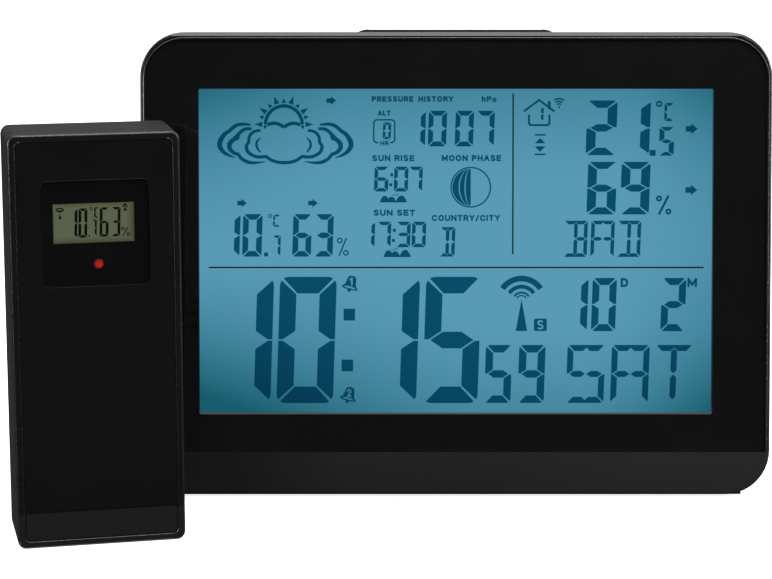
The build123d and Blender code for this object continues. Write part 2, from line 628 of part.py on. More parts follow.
with BuildPart() as sensor_lcd_frame:
    span(SENSOR, cover_wall + 0.1, sensor_board_front, lcd_left - 1.2, lcd_right + 1.2, aperture_y - 8.6,
         aperture_y + 11.1)
    span(SENSOR, cover_wall + 0.1, cover_wall + 2.4, lcd_left - 0.1, lcd_right + 0.1, aperture_y - 7.6,
         aperture_y + 10.1, mode=Mode.SUBTRACT)
    span(SENSOR, cover_wall + 2.4, sensor_board_front, lcd_left + 0.9, lcd_right - 0.9, aperture_y + 7.5,
         aperture_y + 9.7, mode=Mode.SUBTRACT)
    span(SENSOR, cover_wall + 2.4, sensor_board_front, lcd_left + 1, lcd_right - 1, aperture_y - 6,
         aperture_y + 6, mode=Mode.SUBTRACT)
pieces["sensor_lcd_frame"] = sensor_lcd_frame

with BuildPart() as sensor_led:
    post(SENSOR, 3.7, sensor_board_front, led_x, led_y, 1.5)
    with Locations(Plane(SENSOR.from_local_coords((led_x, led_y, -3.7)))):
        Sphere(1.5)
    post(SENSOR, 6.6, 7.4, led_x, led_y, 1.9)
pieces["sensor_led"] = sensor_led

# ==== Sensor: circuit board, slide switch and send button ====
slide_x, send_x, switch_y = -8.0, 8.0, 69.6
switch_floor = 21.0
slide_travel, send_travel = 2.0, 0.5

with BuildPart() as sensor_board:
    span(SENSOR, sensor_board_front, sensor_board_back, -19.5, 19.5, 66.0, 104.5)
pieces["sensor_board"] = sensor_board

with BuildPart() as sensor_components:
    post(SENSOR, sensor_board_back, 10.6, -6, 86, 4.5)
    block(SENSOR, sensor_board_back, 12.2, 9, 84, 9.0, 3.6, 1.7)
    for y in range(78, 98, 4):
        block(SENSOR, sensor_board_back, 9.9, -16, y, 2.0, 1.2)
pieces["sensor_components"] = sensor_components

with BuildPart() as sensor_switches:
    block(SENSOR, sensor_board_back, 12.2, slide_x, switch_y, 9.0, 4.6)
    block(SENSOR, 10.4, 12.2, slide_x, switch_y, 6.2, 2.2, mode=Mode.SUBTRACT)
    block(SENSOR, sensor_board_back, 12.0, send_x, switch_y, 6.0, 6.0, 0.4)
    post(SENSOR, 10.4, 12.0, send_x, switch_y, 1.9, Mode.SUBTRACT)
pieces["sensor_switches"] = sensor_switches

with BuildPart() as sensor_channel_knob:
    block(SENSOR, 11.0, 13.0, slide_x, switch_y, 1.6, 1.5)
    block(SENSOR, 13.0, 18.6, slide_x, switch_y, 2.6, 2.2)
    block(SENSOR, 18.6, 19.4, slide_x, switch_y, 13.4, 4.6, 0.5)
    block(SENSOR, 19.4, 22.8, slide_x, switch_y, 3.6, 2.8, 0.4)
    for x in (-1.1, 0, 1.1):
        block(SENSOR, 22.8, 23.0, slide_x + x, switch_y, 0.4, 2.8)
pieces["sensor_channel_knob"] = sensor_channel_knob

with BuildPart() as sensor_send_key:
    post(SENSOR, 12.9, 18.5, send_x, switch_y, 1.4)
    post(SENSOR, 18.5, 19.4, send_x, switch_y, 2.8)
    post(SENSOR, 19.4, 22.2, send_x, switch_y, 1.9)
    fillet(sensor_send_key.faces().sort_by(SENSOR_FRONT)[0].edges(), 0.3)
pieces["sensor_send_key"] = sensor_send_key

with BuildPart() as sensor_send_plunger:
    post(SENSOR, 11.4, 12.9, send_x, switch_y, 1.4)
pieces["sensor_send_plunger"] = sensor_send_plunger

with BuildPart() as sensor_probe:
    span(SENSOR, sensor_board_back, sensor_board_back + 0.8, 17.4, 20.4, 55.0, 69.0)
    block(SENSOR, sensor_board_back + 0.8, sensor_board_back + 1.6, 18.9, 58.0, 1.6, 1.6)
pieces["sensor_probe"] = sensor_probe

# ==== Sensor: back cover, with the battery bay, the hanging hole and the probe's vents ====
sensor_door_seat = sensor_depth - 1.7
sensor_door_half, sensor_door_low, sensor_door_high = 16.4, 3.6, 75.0
sensor_hooks = (-9.0, 9.0)
sensor_hook_back = 20.9
bay_half = sensor_bay_width / 2

with BuildPart() as sensor_hollow:
    with BuildSketch(SENSOR.offset(-sensor_front_depth)):
        sensor_outline(sensor_wall)
    extrude(amount=sensor_front_depth - sensor_back_inside)

with BuildPart() as sensor_back:
    with BuildSketch(SENSOR.offset(-sensor_front_depth)):
        sensor_outline()
    extrude(amount=sensor_front_depth - sensor_depth)
    fillet(sensor_back.faces().sort_by(SENSOR_FRONT)[0].edges(), 1.0)
    chamfer(sensor_back.faces().sort_by(SENSOR_FRONT)[-1].edges(), 0.3)
    add(sensor_hollow.part, mode=Mode.SUBTRACT)
    span(SENSOR, 6.8, sensor_back_inside + 0.3, -bay_half - 1.4, bay_half + 1.4, sensor_bay_low - 1.4,
         sensor_bay_high + 1.4)
    span(SENSOR, 19.8, sensor_back_inside + 0.3, -bay_half - 1.4, bay_half + 1.4, 1.0, sensor_door_high + 1.4)
    for x, y in sensor_screw_places:
        post(SENSOR, sensor_front_depth, sensor_back_inside + 0.3, x, y, 2.1)
    post(SENSOR, 20.3, sensor_back_inside + 0.3, 0, 101.0, 6.4)
    span(SENSOR, 8.0, sensor_depth, -bay_half, bay_half, sensor_bay_low, sensor_bay_high, mode=Mode.SUBTRACT)
    door_opening(SENSOR, sensor_door_half, sensor_door_low, sensor_door_high, sensor_door_seat, sensor_depth,
                 sensor_hooks)
    span(SENSOR, switch_floor, sensor_depth, -13.5, 13.5, 66.2, 73.2, mode=Mode.SUBTRACT)
    block(SENSOR, 19.0, sensor_depth, slide_x, switch_y, 8.4, 3.4, 0, Mode.SUBTRACT)
    post(SENSOR, 19.0, sensor_depth, send_x, switch_y, 2.2, Mode.SUBTRACT)
    for x, y in sensor_screw_places:
        post(SENSOR, sensor_front_depth, sensor_depth, x, y, 0.9, Mode.SUBTRACT)
        post(SENSOR, 19.0, sensor_depth, x, y, 1.5, Mode.SUBTRACT)
    post(SENSOR, 21.5, sensor_depth, 0, 99.0, 3.0, Mode.SUBTRACT)
    block(SENSOR, 21.5, sensor_depth, 0, 101.2, 3.2, 4.4, 0, Mode.SUBTRACT)
    post(SENSOR, 21.5, sensor_depth, 0, 103.4, 1.6, Mode.SUBTRACT)
    for y in (54.0, 58.0, 62.0):
        with BuildSketch(side_plane(SENSOR, sensor_width / 2 - 3, y, 15.0)) as vent:
            RectangleRounded(1.4, 8.0, 0.65)
        extrude(vent.sketch, amount=4.0, mode=Mode.SUBTRACT)
pieces["sensor_back"] = sensor_back

with BuildPart() as sensor_seal:
    with BuildSketch(SENSOR.offset(-sensor_front_depth + 0.9)):
        sensor_outline(sensor_wall + 0.05)
        sensor_outline(sensor_wall + 0.35, Mode.SUBTRACT)
    extrude(amount=-1.8)
pieces["sensor_seal"] = sensor_seal

with BuildPart() as sensor_screws:
    for x, y in sensor_screw_places:
        post(SENSOR, cover_wall + 0.8, 18.9, x, y, 0.75)
        post(SENSOR, 19.0, 20.4, x, y, 1.4)
        post(SENSOR, 18.9, 19.0, x, y, 0.75)
        block(SENSOR, 19.8, 20.4, x, y, 2.0, 0.45, 0, Mode.SUBTRACT)
        block(SENSOR, 19.8, 20.4, x, y, 0.45, 2.0, 0, Mode.SUBTRACT)
pieces["sensor_screws"] = sensor_screws

# ==== Sensor: batteries, contacts and door ====
cell_gap = sensor_bay_high - sensor_bay_low - sensor_cell_length - 2 * contact_thickness


def upright_bar(x, low, high, radius):
    """A round bar that stands in the sensor's battery bay."""
    base = SENSOR.from_local_coords((x, low, -sensor_cell_depth))
    with BuildSketch(Plane(base, x_dir=SENSOR.x_dir, z_dir=SENSOR.y_dir)) as outline:
        Circle(radius)
    extrude(outline.sketch, amount=high - low)


with BuildPart() as sensor_cells:
    top = sensor_bay_high - contact_thickness
    upright_bar(-7.5, top - sensor_cell_length, top - 1.1, sensor_cell_radius)
    upright_bar(-7.5, top - 1.2, top, 2.7)
    bottom = sensor_bay_low + contact_thickness
    upright_bar(7.5, bottom + 1.1, bottom + sensor_cell_length, sensor_cell_radius)
    upright_bar(7.5, bottom, bottom + 1.2, 2.7)
pieces["sensor_cells"] = sensor_cells

with BuildPart() as sensor_contact_plates:
    for x in (-7.5, 7.5):
        for low in (sensor_bay_low, sensor_bay_high - contact_thickness):
            span(SENSOR, 9.2, 21.0, x - 5.5, x + 5.5, low, low + contact_thickness)
pieces["sensor_contact_plates"] = sensor_contact_plates

with BuildPart() as sensor_springs:
    for x, end in ((-7.5, 1), (7.5, -1)):
        start = sensor_bay_low if end > 0 else sensor_bay_high
        base = SENSOR.from_local_coords((x, start + end * (contact_thickness + 0.45), -sensor_cell_depth))
        coil_spring(base, SENSOR.y_dir * end, 4.6, 2.8, cell_gap - 0.9, 4, 0.4)
pieces["sensor_springs"] = sensor_springs

with BuildPart() as sensor_battery_door:
    battery_door(SENSOR, sensor_door_half, sensor_door_low, sensor_door_high, sensor_door_seat, sensor_depth,
                 sensor_hooks)
pieces["sensor_battery_door"] = sensor_battery_door

# ---- Each piece is written to its own file ----
os.makedirs("parts", exist_ok=True)
for name, piece in pieces.items():
    piece.part.label = name
    export_step(piece.part, f"parts/{name}.step")
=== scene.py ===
"""Looks of the home weather station: console with its lit display, and the wireless outdoor sensor.

Flat display artwork is drawn in millimetres on each unit's own front plane and set in the frame by the
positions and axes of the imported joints.
"""

import json
from math import cos, radians, sin

import bmesh
import bpy
from mathutils import Matrix, Vector


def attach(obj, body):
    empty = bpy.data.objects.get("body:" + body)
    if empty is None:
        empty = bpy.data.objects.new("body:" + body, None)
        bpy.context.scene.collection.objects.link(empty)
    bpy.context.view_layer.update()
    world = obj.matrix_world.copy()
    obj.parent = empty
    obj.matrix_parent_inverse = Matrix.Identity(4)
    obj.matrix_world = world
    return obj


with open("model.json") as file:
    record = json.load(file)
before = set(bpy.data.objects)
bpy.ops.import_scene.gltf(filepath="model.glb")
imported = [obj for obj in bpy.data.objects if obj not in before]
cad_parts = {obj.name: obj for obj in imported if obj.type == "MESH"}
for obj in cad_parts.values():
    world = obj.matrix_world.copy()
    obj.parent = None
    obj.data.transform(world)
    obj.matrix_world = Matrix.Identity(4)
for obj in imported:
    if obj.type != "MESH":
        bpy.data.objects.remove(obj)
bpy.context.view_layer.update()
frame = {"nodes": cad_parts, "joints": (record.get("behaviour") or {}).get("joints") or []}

nodes = frame["nodes"]
joints = {joint["name"]: joint for joint in frame["joints"]}
scene = bpy.context.scene
MM = 0.001


# ---- The two front planes, from the joints ----
def joint_axis(name):
    return Vector(joints[name]["axis"])


def front_plane(hinge, hinge_up, hinge_depth, right, up, out):
    """Matrix of a unit's front plane: x to the viewer's right, y up the face, z towards the viewer.

    The named hinge lies hinge_up above the plane's origin and hinge_depth behind it, in millimetres."""
    origin = Vector(joints[hinge]["pos_m"]) - hinge_up * MM * up + hinge_depth * MM * out
    return Matrix.Translation(origin) @ Matrix((right, up, out)).transposed().to_4x4()


FACE = front_plane("foot_fold", 9.5, 23.1, joint_axis("foot_fold"), -joint_axis("snooze_key_press"),
                   joint_axis("mode_key_press"))
SENSOR = front_plane("sensor_door_hinge", 3.9, 25, joint_axis("sensor_channel_slide"), Vector((0, 0, 1)),
                     joint_axis("sensor_send_press"))

# ---- Windows, edges and depths behind the front planes, in millimetres ----
window_width, window_height, window_top = 155.5, 98.3, 122.2
window_left, window_foot = -window_width / 2, window_top - window_height
art_left, art_top = window_left + 0.3, window_top + 0.2
polarizer_front = 4.8
lens_back, lens_seat = 1.6, 1.7
eye_width, eye_height, eye_y = 30, 29.7, 89.75
small_width, small_height, small_x, small_y = 22.5, 11.1, -0.3, 92.4
small_left, small_top = small_x - small_width / 2, small_y + small_height / 2
console_window = (window_left, window_top, window_width, window_height)
small_window = (small_left, small_top, small_width, small_height)
led_x, led_y, led_hole = 1, 80.6, 1.65
eye_back, small_glass = 1.8, 3.095
strip_high, small_strip_high = 12.3, 10.2
console_half, console_head, rim_corner, bevel_step = 95.15, 139.2, 13.5, 0.8
panel_half, panel_head, panel_round = 23.8, 117.7, 2.5


# ---- Flat artwork on a plane ----
class Layer:
    """Thin closed shapes on a front plane, in millimetres from the upper left corner of a window, y down."""

    def __init__(self, plane, front, back, left=0, top=0):
        self.plane, self.left, self.top = plane, left, top
        self.front, self.back = -front * MM, -back * MM
        self.mesh = bmesh.new()

    def spot(self, point, depth):
        return self.mesh.verts.new(((self.left + point[0]) * MM, (self.top - point[1]) * MM, depth))

    def wall(self, one, other, closed=True):
        """Faces between two lines of points."""
        count = len(one)
        for i in range(count if closed else count - 1):
            j = (i + 1) % count
            self.mesh.faces.new((one[i], one[j], other[j], other[i]))

    def shape(self, outline):
        """A filled outline."""
        near, far = ([self.spot(point, depth) for point in outline] for depth in (self.front, self.back))
        self.mesh.faces.new(near)
        self.mesh.faces.new(far[::-1])
        self.wall(far, near)

    def ring(self, outer, inner):
        """A closed band between two outlines with the same number of points."""
        near, far, near_hole, far_hole = ([self.spot(point, depth) for point in line]
                                          for line in (outer, inner) for depth in (self.front, self.back))
        self.wall(near, near_hole)
        self.wall(far_hole, far)
        self.wall(far, near)
        self.wall(near_hole, far_hole)

    def stroke(self, points, widths):
        """A line of a given width, or of a width for each point."""
        if not hasattr(widths, "__len__"):
            widths = [widths] * len(points)
        line = [Vector(point) for point in points]
        steps = [(end - start).normalized() for start, end in zip(line, line[1:])]
        one, other = [], []
        for point, width, before, after in zip(line, widths, steps[:1] + steps, steps + steps[-1:]):
            along = (before + after).normalized()
            reach = width / 2 / max(along.dot(after), 0.5)
            one.append(point + reach * Vector((-along.y, along.x)))
            other.append(point - reach * Vector((-along.y, along.x)))
        self.shape(one + other[::-1])

    def bead(self, rows, lifts, closed):
        """A raised line over neighbouring outlines, each lifted from the surface in millimetres."""
        lines = [[self.spot(point, self.front + lift * MM) for point in row]
                 for row, lift in zip(rows, lifts)]
        for one, other in zip(lines, lines[1:] + lines[:1]):
            self.wall(one, other, closed)
        if not closed:
            self.mesh.faces.new([line[0] for line in lines])
            self.mesh.faces.new([line[-1] for line in lines][::-1])

    def words(self, text, left, right, top, bottom, line):
        """Plain capitals of one line width, spread over a box."""
        height = bottom - top
        widths = [letters[sign][0] * height for sign in text]
        spare = right - left - line * len(text)
        scale = spare / (sum(widths) + letter_gap * height * (len(text) - 1))
        place = left + line / 2
        for sign, width in zip(text, widths):
            for points in letters[sign][1]:
                points = smooth(points, 3) if len(points) > 4 else points
                drawn = [Vector((place + x * width * scale, top + line / 2 + y * (height - line)))
                         for x, y in points]
                for end, inner in ((0, 1), (-1, -2)):
                    drawn[end] += (drawn[end] - drawn[inner]).normalized() * line / 2
                self.stroke(drawn, line)
            place += width * scale + letter_gap * height * scale + line

    def finish(self, name, body, material, slot):
        """Turns the layer into a piece that rides on a body."""
        bmesh.ops.remove_doubles(self.mesh, verts=self.mesh.verts, dist=1e-7)
        bmesh.ops.recalc_face_normals(self.mesh, faces=self.mesh.faces)
        piece = linked(name, mesh_data(name, self.mesh, material))
        piece.matrix_world = self.plane
        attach(piece, body)


def mesh_data(name, mesh, material):
    data = bpy.data.meshes.new(name)
    mesh.to_mesh(data)
    mesh.free()
    data.materials.append(material)
    return data


def linked(name, data):
    """A new object in the scene."""
    thing = bpy.data.objects.new(name, data)
    scene.collection.objects.link(thing)
    return thing


# ---- Outlines (millimetres, y down) ----
def arc(x, y, radius, start, end, steps=24, squash=1):
    """Points of an arc; angles in degrees, counterclockwise as seen."""
    angles = [radians(start + (end - start) * i / steps) for i in range(steps + 1)]
    return [(x + squash * radius * cos(angle), y - radius * sin(angle)) for angle in angles]


def circle(x, y, radius, steps=40):
    return arc(x, y, radius, 0, 360, steps)[:-1]


def band(x, y, inner, outer, start, end):
    """Outline of a curved bar."""
    return arc(x, y, outer, start, end) + arc(x, y, inner, end, start)


def rectangle(left, right, top, bottom):
    return [(left, top), (right, top), (right, bottom), (left, bottom)]


def rounded_box(left, right, top, bottom, radius, low_radius=None, steps=6):
    low = radius if low_radius is None else low_radius
    corners = ((right - radius, top + radius, radius, 0), (left + radius, top + radius, radius, 90),
               (left + low, bottom - low, low, 180), (right - low, bottom - low, low, 270))
    return [point for x, y, size, start in corners for point in arc(x, y, size, start, start + 90, steps)]


def smooth(points, steps=6):
    """A smooth line through the points."""
    line = [Vector(point) for point in points]
    line = [2 * line[0] - line[1]] + line + [2 * line[-1] - line[-2]]
    curve = []
    for p0, p1, p2, p3 in zip(line, line[1:], line[2:], line[3:]):
        for i in range(steps):
            t = i / steps
            curve.append(0.5 * (2 * p1 + (p2 - p0) * t + (2 * p0 - 5 * p1 + 4 * p2 - p3) * t ** 2
                                + (3 * p1 - p0 - 3 * p2 + p3) * t ** 3))
    return curve + [line[-2]]


def mirrored(points, middle):
    return [(2 * middle - x, y) for x, y in points]


def smooth_ring(points):
    """A smooth closed outline through the points."""
    return smooth(points + points[:1], 3)[:-1]


# Letters: width as a share of the height, and strokes in a box from (0, 0) at the upper left to (1, 1).
letter_gap = 0.17
stem, right_stem, top_bar, foot_bar = [(0, 0), (0, 1)], [(1, 0), (1, 1)], [(0, 0), (1, 0)], [(0, 1), (1, 1)]
bowl = [(0, 0), (0.55, 0), (0.9, 0.07), (1, 0.27), (0.9, 0.47), (0.55, 0.54), (0, 0.54)]
left_oval = [(0.5, 0), (0.14, 0.12), (0, 0.5), (0.14, 0.88), (0.5, 1)]
letters = {
    " ": (0.1, []),
    "A": (0.74, [[(0, 1), (0.5, 0)], [(0.5, 0), (1, 1)], [(0.2, 0.66), (0.8, 0.66)]]),
    "C": (0.7, [[(0.95, 0.17), (0.78, 0.04)] + left_oval + [(0.78, 0.96), (0.95, 0.83)]]),
    "D": (0.68, [stem, [(0, 0), (0.45, 0), (0.86, 0.14), (1, 0.5), (0.86, 0.86), (0.45, 1), (0, 1)]]),
    "E": (0.56, [stem, top_bar, [(0, 0.5), (0.9, 0.5)], foot_bar]),
    "H": (0.66, [stem, right_stem, [(0, 0.5), (1, 0.5)]]),
    "I": (0, [stem]),
    "L": (0.5, [stem, foot_bar]),
    "M": (0.82, [stem, [(0, 0), (0.5, 0.8)], [(0.5, 0.8), (1, 0)], right_stem]),
    "N": (0.68, [stem, [(0, 0), (1, 1)], right_stem]),
    "O": (0.76, [left_oval, mirrored(left_oval, 0.5)]),
    "P": (0.58, [stem, bowl]),
    "R": (0.62, [stem, bowl, [(0.55, 0.54), (1, 1)]]),
    "S": (0.62, [[(0.86, 0.08), (0.66, 0), (0.34, 0), (0.08, 0.1), (0.05, 0.3), (0.26, 0.45), (0.74, 0.55),
                  (0.95, 0.7), (0.92, 0.9), (0.66, 1), (0.34, 1), (0.12, 0.92)]]),
    "T": (0.6, [top_bar, [(0.5, 0), (0.5, 1)]]),
    "U": (0.66, [[(0, 0), (0, 0.68), (0.13, 0.93), (0.5, 1), (0.87, 0.93), (1, 0.68), (1, 0)]]),
    "Y": (0.66, [[(0, 0), (0.5, 0.54)], [(1, 0), (0.5, 0.54)], [(0.5, 0.54), (0.5, 1)]]),
    "h": (0.44, [stem, [(0, 0.55), (0.25, 0.38), (0.6, 0.32), (0.92, 0.42), (1, 0.62), (1, 1)]]),
    "a": (0.42, [[(0.05, 0.46), (0.3, 0.33), (0.7, 0.34), (0.92, 0.48), (0.92, 0.7), (0.92, 1)],
                 [(0.92, 0.62), (0.4, 0.64), (0.04, 0.76), (0.1, 0.96), (0.5, 1), (0.92, 0.84)]]),
    "/": (0.34, [[(0, 1), (1, 0)]]),
    "1": (0.26, [[(0, 0.2), (1, 0)], right_stem]),
    "2": (0.56, [[(0, 0.28), (0.14, 0.06), (0.5, 0), (0.88, 0.1), (0.94, 0.34), (0.6, 0.66), (0, 1)],
                 foot_bar]),
}


# ---- Segment figures ----
slant = 0.0326
tip_share, corner_share = 0.27, 0.45
SEVEN = {"0": "abcdef", "1": "bc", "2": "abged", "3": "abgcd", "5": "afgcd", "6": "afgedc", "7": "abc",
         "9": "abcdfg", "C": "afed"}
FOURTEEN = {"A": "abcefgh", "B": "abcdhil", "D": "abcdil", "S": "afghcd", "T": "ail"}


def segment_shapes(width, height, upright, across, gap, split):
    """The segments of one figure, by letter, y up from its lower left corner.

    With split, the middle bar is two (g, h) and two centre uprights (i, l) are added."""
    middle, centre, bar_foot = height / 2, width / 2, height - across
    near, far = upright + gap, width - upright - gap
    cut, blunt, half = 0.7 * gap, corner_share * across, across / 2
    inner, point = upright + cut, (1 - tip_share) * upright

    def corner(*angles):
        """Points of the figure's rounded corner, as steps in from the sharp corner."""
        return [(blunt * (1 - cos(radians(angle))), blunt * (1 - sin(radians(angle)))) for angle in angles]

    def turned(shape):
        return mirrored(shape, centre)

    def upended(shape):
        return [(x, height - y) for x, y in shape]

    def middle_bar(left, right):
        return [(left - point, middle), (left, middle + half), (right, middle + half),
                (right + point, middle), (right, middle - half), (left, middle - half)]

    notch = []
    shapes = {"g": middle_bar(near, far)}
    if split:
        deep, inside = 0.55 * across, centre - gap / 2 - point
        notch = [(centre + deep, bar_foot), (centre, bar_foot + deep), (centre - deep, bar_foot)]
        low, high, thick = middle + gap / 2, bar_foot + deep - cut, upright / 2
        post = [(centre, high), (centre + thick, high - thick), (centre + thick, low + thick), (centre, low),
                (centre - thick, low + thick), (centre - thick, high - thick)]
        shapes = {"g": middle_bar(near, inside), "h": middle_bar(width - inside, far), "i": post,
                  "l": upended(post)}
    left_end = [(cut + x, height - y) for x, y in corner(50, 70, 90)]
    bar = left_end + turned(left_end)[::-1] + [(width - inner, bar_foot)] + notch + [(inner, bar_foot)]
    side = [(0, middle + gap / 2)] + [(x, height - cut - y) for x, y in corner(0, 20, 40)]
    side += [(upright, bar_foot - cut), (upright, middle + (across + gap) / 2),
             (tip_share * upright, middle + gap / 2)]
    shapes.update(a=bar, d=upended(bar), f=side, b=turned(side), e=upended(side), c=turned(upended(side)))
    return shapes


def figure(layer, sign, right, top, bottom, width, upright, across, gap):
    """Draws a slanted segment figure whose box ends at right; width is that of a full figure."""
    height = bottom - top
    split = sign in FOURTEEN
    shapes = segment_shapes(width - slant * height, height, upright, across, gap, split)
    for segment in (FOURTEEN if split else SEVEN)[sign]:
        layer.shape([(right - width + x + slant * y, bottom - y) for x, y in shapes[segment]])


def figures(layer, rows):
    """Rows of figures: signs, right ends of their boxes, top, bottom, full width, upright, cross bar, gap."""
    for signs, rights, *size in rows:
        for sign, right in zip(signs, rights):
            figure(layer, sign, right, *size)


def squares(layer, places):
    for x, y, size in places:
        layer.shape(rectangle(x, x + size, y, y + size))


# ---- Console display ----
clock_rows = (
    ("10", (22.35, 41.4), 57.1, 95.6, 18.5, 5.1, 5.05, 0.45),
    ("15", (66.7, 85.4), 57.1, 95.6, 18.1, 5.1, 5.05, 0.45),
    ("59", (94.75, 104.9), 77.85, 95.55, 8.6, 2.3, 2.3, 0.32),
    ("102", (117.9, 126.5, 147.6), 57.45, 73.65, 7.9, 2.15, 2.15, 0.32),
    ("SAT", (123.1, 136.6, 149.8), 77.85, 95.55, 12.1, 1.85, 1.85, 0.32))
weather_rows = (
    ("10", (12.2, 18.9), 38.05, 50.95, 6.3, 1.75, 1.7, 0.26),
    ("63", (33.9, 40.5), 38.05, 50.95, 6.1, 1.75, 1.7, 0.26),
    ("C", (24.3,), 38.2, 41.9, 2.3, 0.6, 0.6, 0.18),
    ("7", (24.4,), 44.5, 50.8, 2.7, 0.85, 0.8, 0.18),
    ("1007", (68.45, 74.85, 83, 89.3), 6.75, 17.55, 5.9, 1.5, 1.5, 0.26),
    ("0", (57.9,), 10.3, 15.35, 2.6, 0.8, 0.75, 0.14),
    ("607", (57.15, 63.15, 67.5), 23.65, 31.2, 4.5, 1.1, 1.05, 0.18),
    ("1730", (53.05, 57.95, 63.85, 68.55), 40.35, 48.1, 4.5, 1.1, 1.05, 0.18),
    ("21", (126.45, 136.55), 3.65, 20.2, 9.7, 2.9, 2.25, 0.36),
    ("69", (126.4, 136.55), 22.2, 38.15, 9.3, 2.75, 2.15, 0.36),
    ("5", (143.7,), 11.65, 20.35, 4.8, 1.55, 1.15, 0.24),
    ("C", (143.5,), 4.4, 9.9, 3, 0.85, 0.85, 0.2),
    ("D", (77.4,), 42, 50.95, 4.9, 1.05, 1, 0.2),
    ("BAD", (117.6, 125.8, 133.8), 40.05, 51.05, 7.5, 1.1, 1.1, 0.22))
weather_points = (
    (19.3, 49.7, 1.2), (57.6, 25.7, 0.9), (57.3, 28.7, 0.9), (58.4, 42.5, 0.9), (58.1, 45.6, 0.9),
    (136.2, 18.6, 1.8))


def clock_figures(layer):
    """Hours, minutes, seconds, date and weekday in the lower half."""
    figures(layer, clock_rows)
    for x, y in ((43.4, 66.8), (42.8, 82.3)):
        layer.shape(rectangle(x, x + 3.5, y, y + 3.6))


def weather_figures(layer):
    """The smaller figures in the upper half."""
    figures(layer, weather_rows)
    squares(layer, weather_points)


def unit_signs(layer):
    """Degree rings, percent signs, arrows, the altitude box and the moon."""
    for x, y, radius, line in ((21.1, 38.6, 0.65, 0.28), (139, 4.7, 0.95, 0.52)):
        layer.ring(circle(x, y, radius), circle(x, y, radius - line))
    percent(layer, 41.4, 45, 45.2, 50.7, 0.4)
    percent(layer, 138.2, 142.9, 32.4, 38.2, 0.62)
    for x, y, size in ((38.3, 2.4, 2.6), (11.2, 33.4, 2.6), (32.7, 33.4, 2.6), (147.1, 10.6, 3.25),
                       (147.1, 29.1, 3.25)):
        arrow(layer, x, y, size)
    left, right, top, bottom, line = 52.6, 58.95, 9.5, 16.4, 0.45
    corner, break_half = 1, 1.75
    middle = (left + right) / 2
    outline = rounded_box(left, right, top, bottom, corner)
    last_corner = 3 * len(outline) // 4
    outline = outline[last_corner:] + outline[:last_corner]
    layer.stroke([(middle + break_half, bottom)] + outline + [(middle - break_half, bottom)], line)
    moon_sign(layer, 82, 29.9, 6.2)


def percent(layer, left, right, top, bottom, line, ring_share=0.16):
    """A percent sign: two small rings and a slash."""
    width, radius = right - left, ring_share * (bottom - top)
    for x, y in ((left + radius, top + radius), (right - radius, bottom - radius)):
        layer.ring(circle(x, y, radius, 24), circle(x, y, radius - line, 24))
    layer.stroke([(left + 0.19 * width, bottom), (left + 0.81 * width, top)], 1.1 * line)


def arrow(layer, x, y, size):
    """A block arrow that points right."""
    half, shaft, neck = size / 2, 0.26 * size, 0.5 * size
    layer.shape([(x, y + half - shaft), (x + neck, y + half - shaft), (x + neck, y),
                 (x + 1.12 * size, y + half), (x + neck, y + size), (x + neck, y + half + shaft),
                 (x, y + half + shaft)])


def moon_sign(layer, x, y, radius):
    """A ring whose left half is filled by three crescents."""
    layer.ring(circle(x, y, radius), circle(x, y, radius - 0.42))
    disc, gap = 0.9 * radius, 0.34
    edges = (1, 0.66, 0.34, 0)
    for outer, inner in zip(edges, edges[1:]):
        inset = gap / disc if outer < 1 else 0
        layer.shape(arc(x, y, disc, 95, 265, 24, outer - inset) + arc(x, y, disc, 265, 95, 24, inner))


def dividing_rules(layer):
    """The two dividing lines."""
    layer.shape(rectangle(94.57, 95.03, 1.6, 50.2))
    layer.shape(rectangle(2.5, 152.8, 54.02, 54.48))


ray_angles = (0, 18, 34, 53, 71, 90)
brow = [(0, 11.75), (0.7, 11.25), (1.7, 10.75), (2.9, 10.55), (4, 10.68), (5, 11.05)]
sun_leg = [(6.07, 0.25), (5.15, 0.15), (5.3, 1), (6, 1.45)]
# Each bank: the line it is mirrored about, its left half as rounded stretches that meet in sharp folds, and
# the line width at every point.
centre_bank = (25.45, (
    ((18.3, 12.66), (16.27, 13.1), (14.99, 14.44), (14.69, 16.29)),
    ((14.69, 16.29), (13.98, 17.63), (14.59, 19.31), (16.44, 20.48), (18.3, 20.75), (19.98, 20.58)),
    ((19.98, 20.58), (21.67, 21.72), (23.69, 22.33), (26.05, 22.46))), (
    (0.85, 0.9, 0.95, 0.95), (0.95, 1.05, 1.05, 1, 1, 1), (0.95, 1, 1, 1.05)))
second_bank = (25.7, (
    ((15.6, 12.19), (13.58, 12.33), (11.89, 13.54), (11.32, 15.11)),
    ((11.32, 15.11), (10.04, 15.55), (8.93, 16.79), (9.03, 18.3), (10.21, 19.48), (11.49, 19.91)),
    ((11.49, 19.91), (12.57, 21.25), (14.42, 22.26), (16.61, 22.5), (19.82, 22.16))), (
    (0.85, 1.05, 1.05, 1), (1, 1.3, 1.45, 1.35, 1.1, 1), (1, 1.05, 1.1, 0.85, 0.2)))
outer_bank = (25.8, (
    ((15.33, 10.98), (12.57, 10.82), (10.54, 11.42), (8.79, 12.93)),
    ((8.79, 12.93), (7.34, 13.94), (6.09, 15.95), (5.99, 17.63), (7.17, 19.31), (8.86, 20.31),
     (10.71, 20.98))), (
    (0.6, 1, 1.1, 1.1), (1.1, 1.3, 1.55, 1.5, 1.15, 0.75, 0.2)))
crescent = (25.28, (
    ((18.4, 14.88), (17.29, 15.95), (17.08, 17.23), (17.56, 18.47), (18.3, 19.31)),), (
    (0.25, 0.7, 0.78, 0.65, 0.4),))


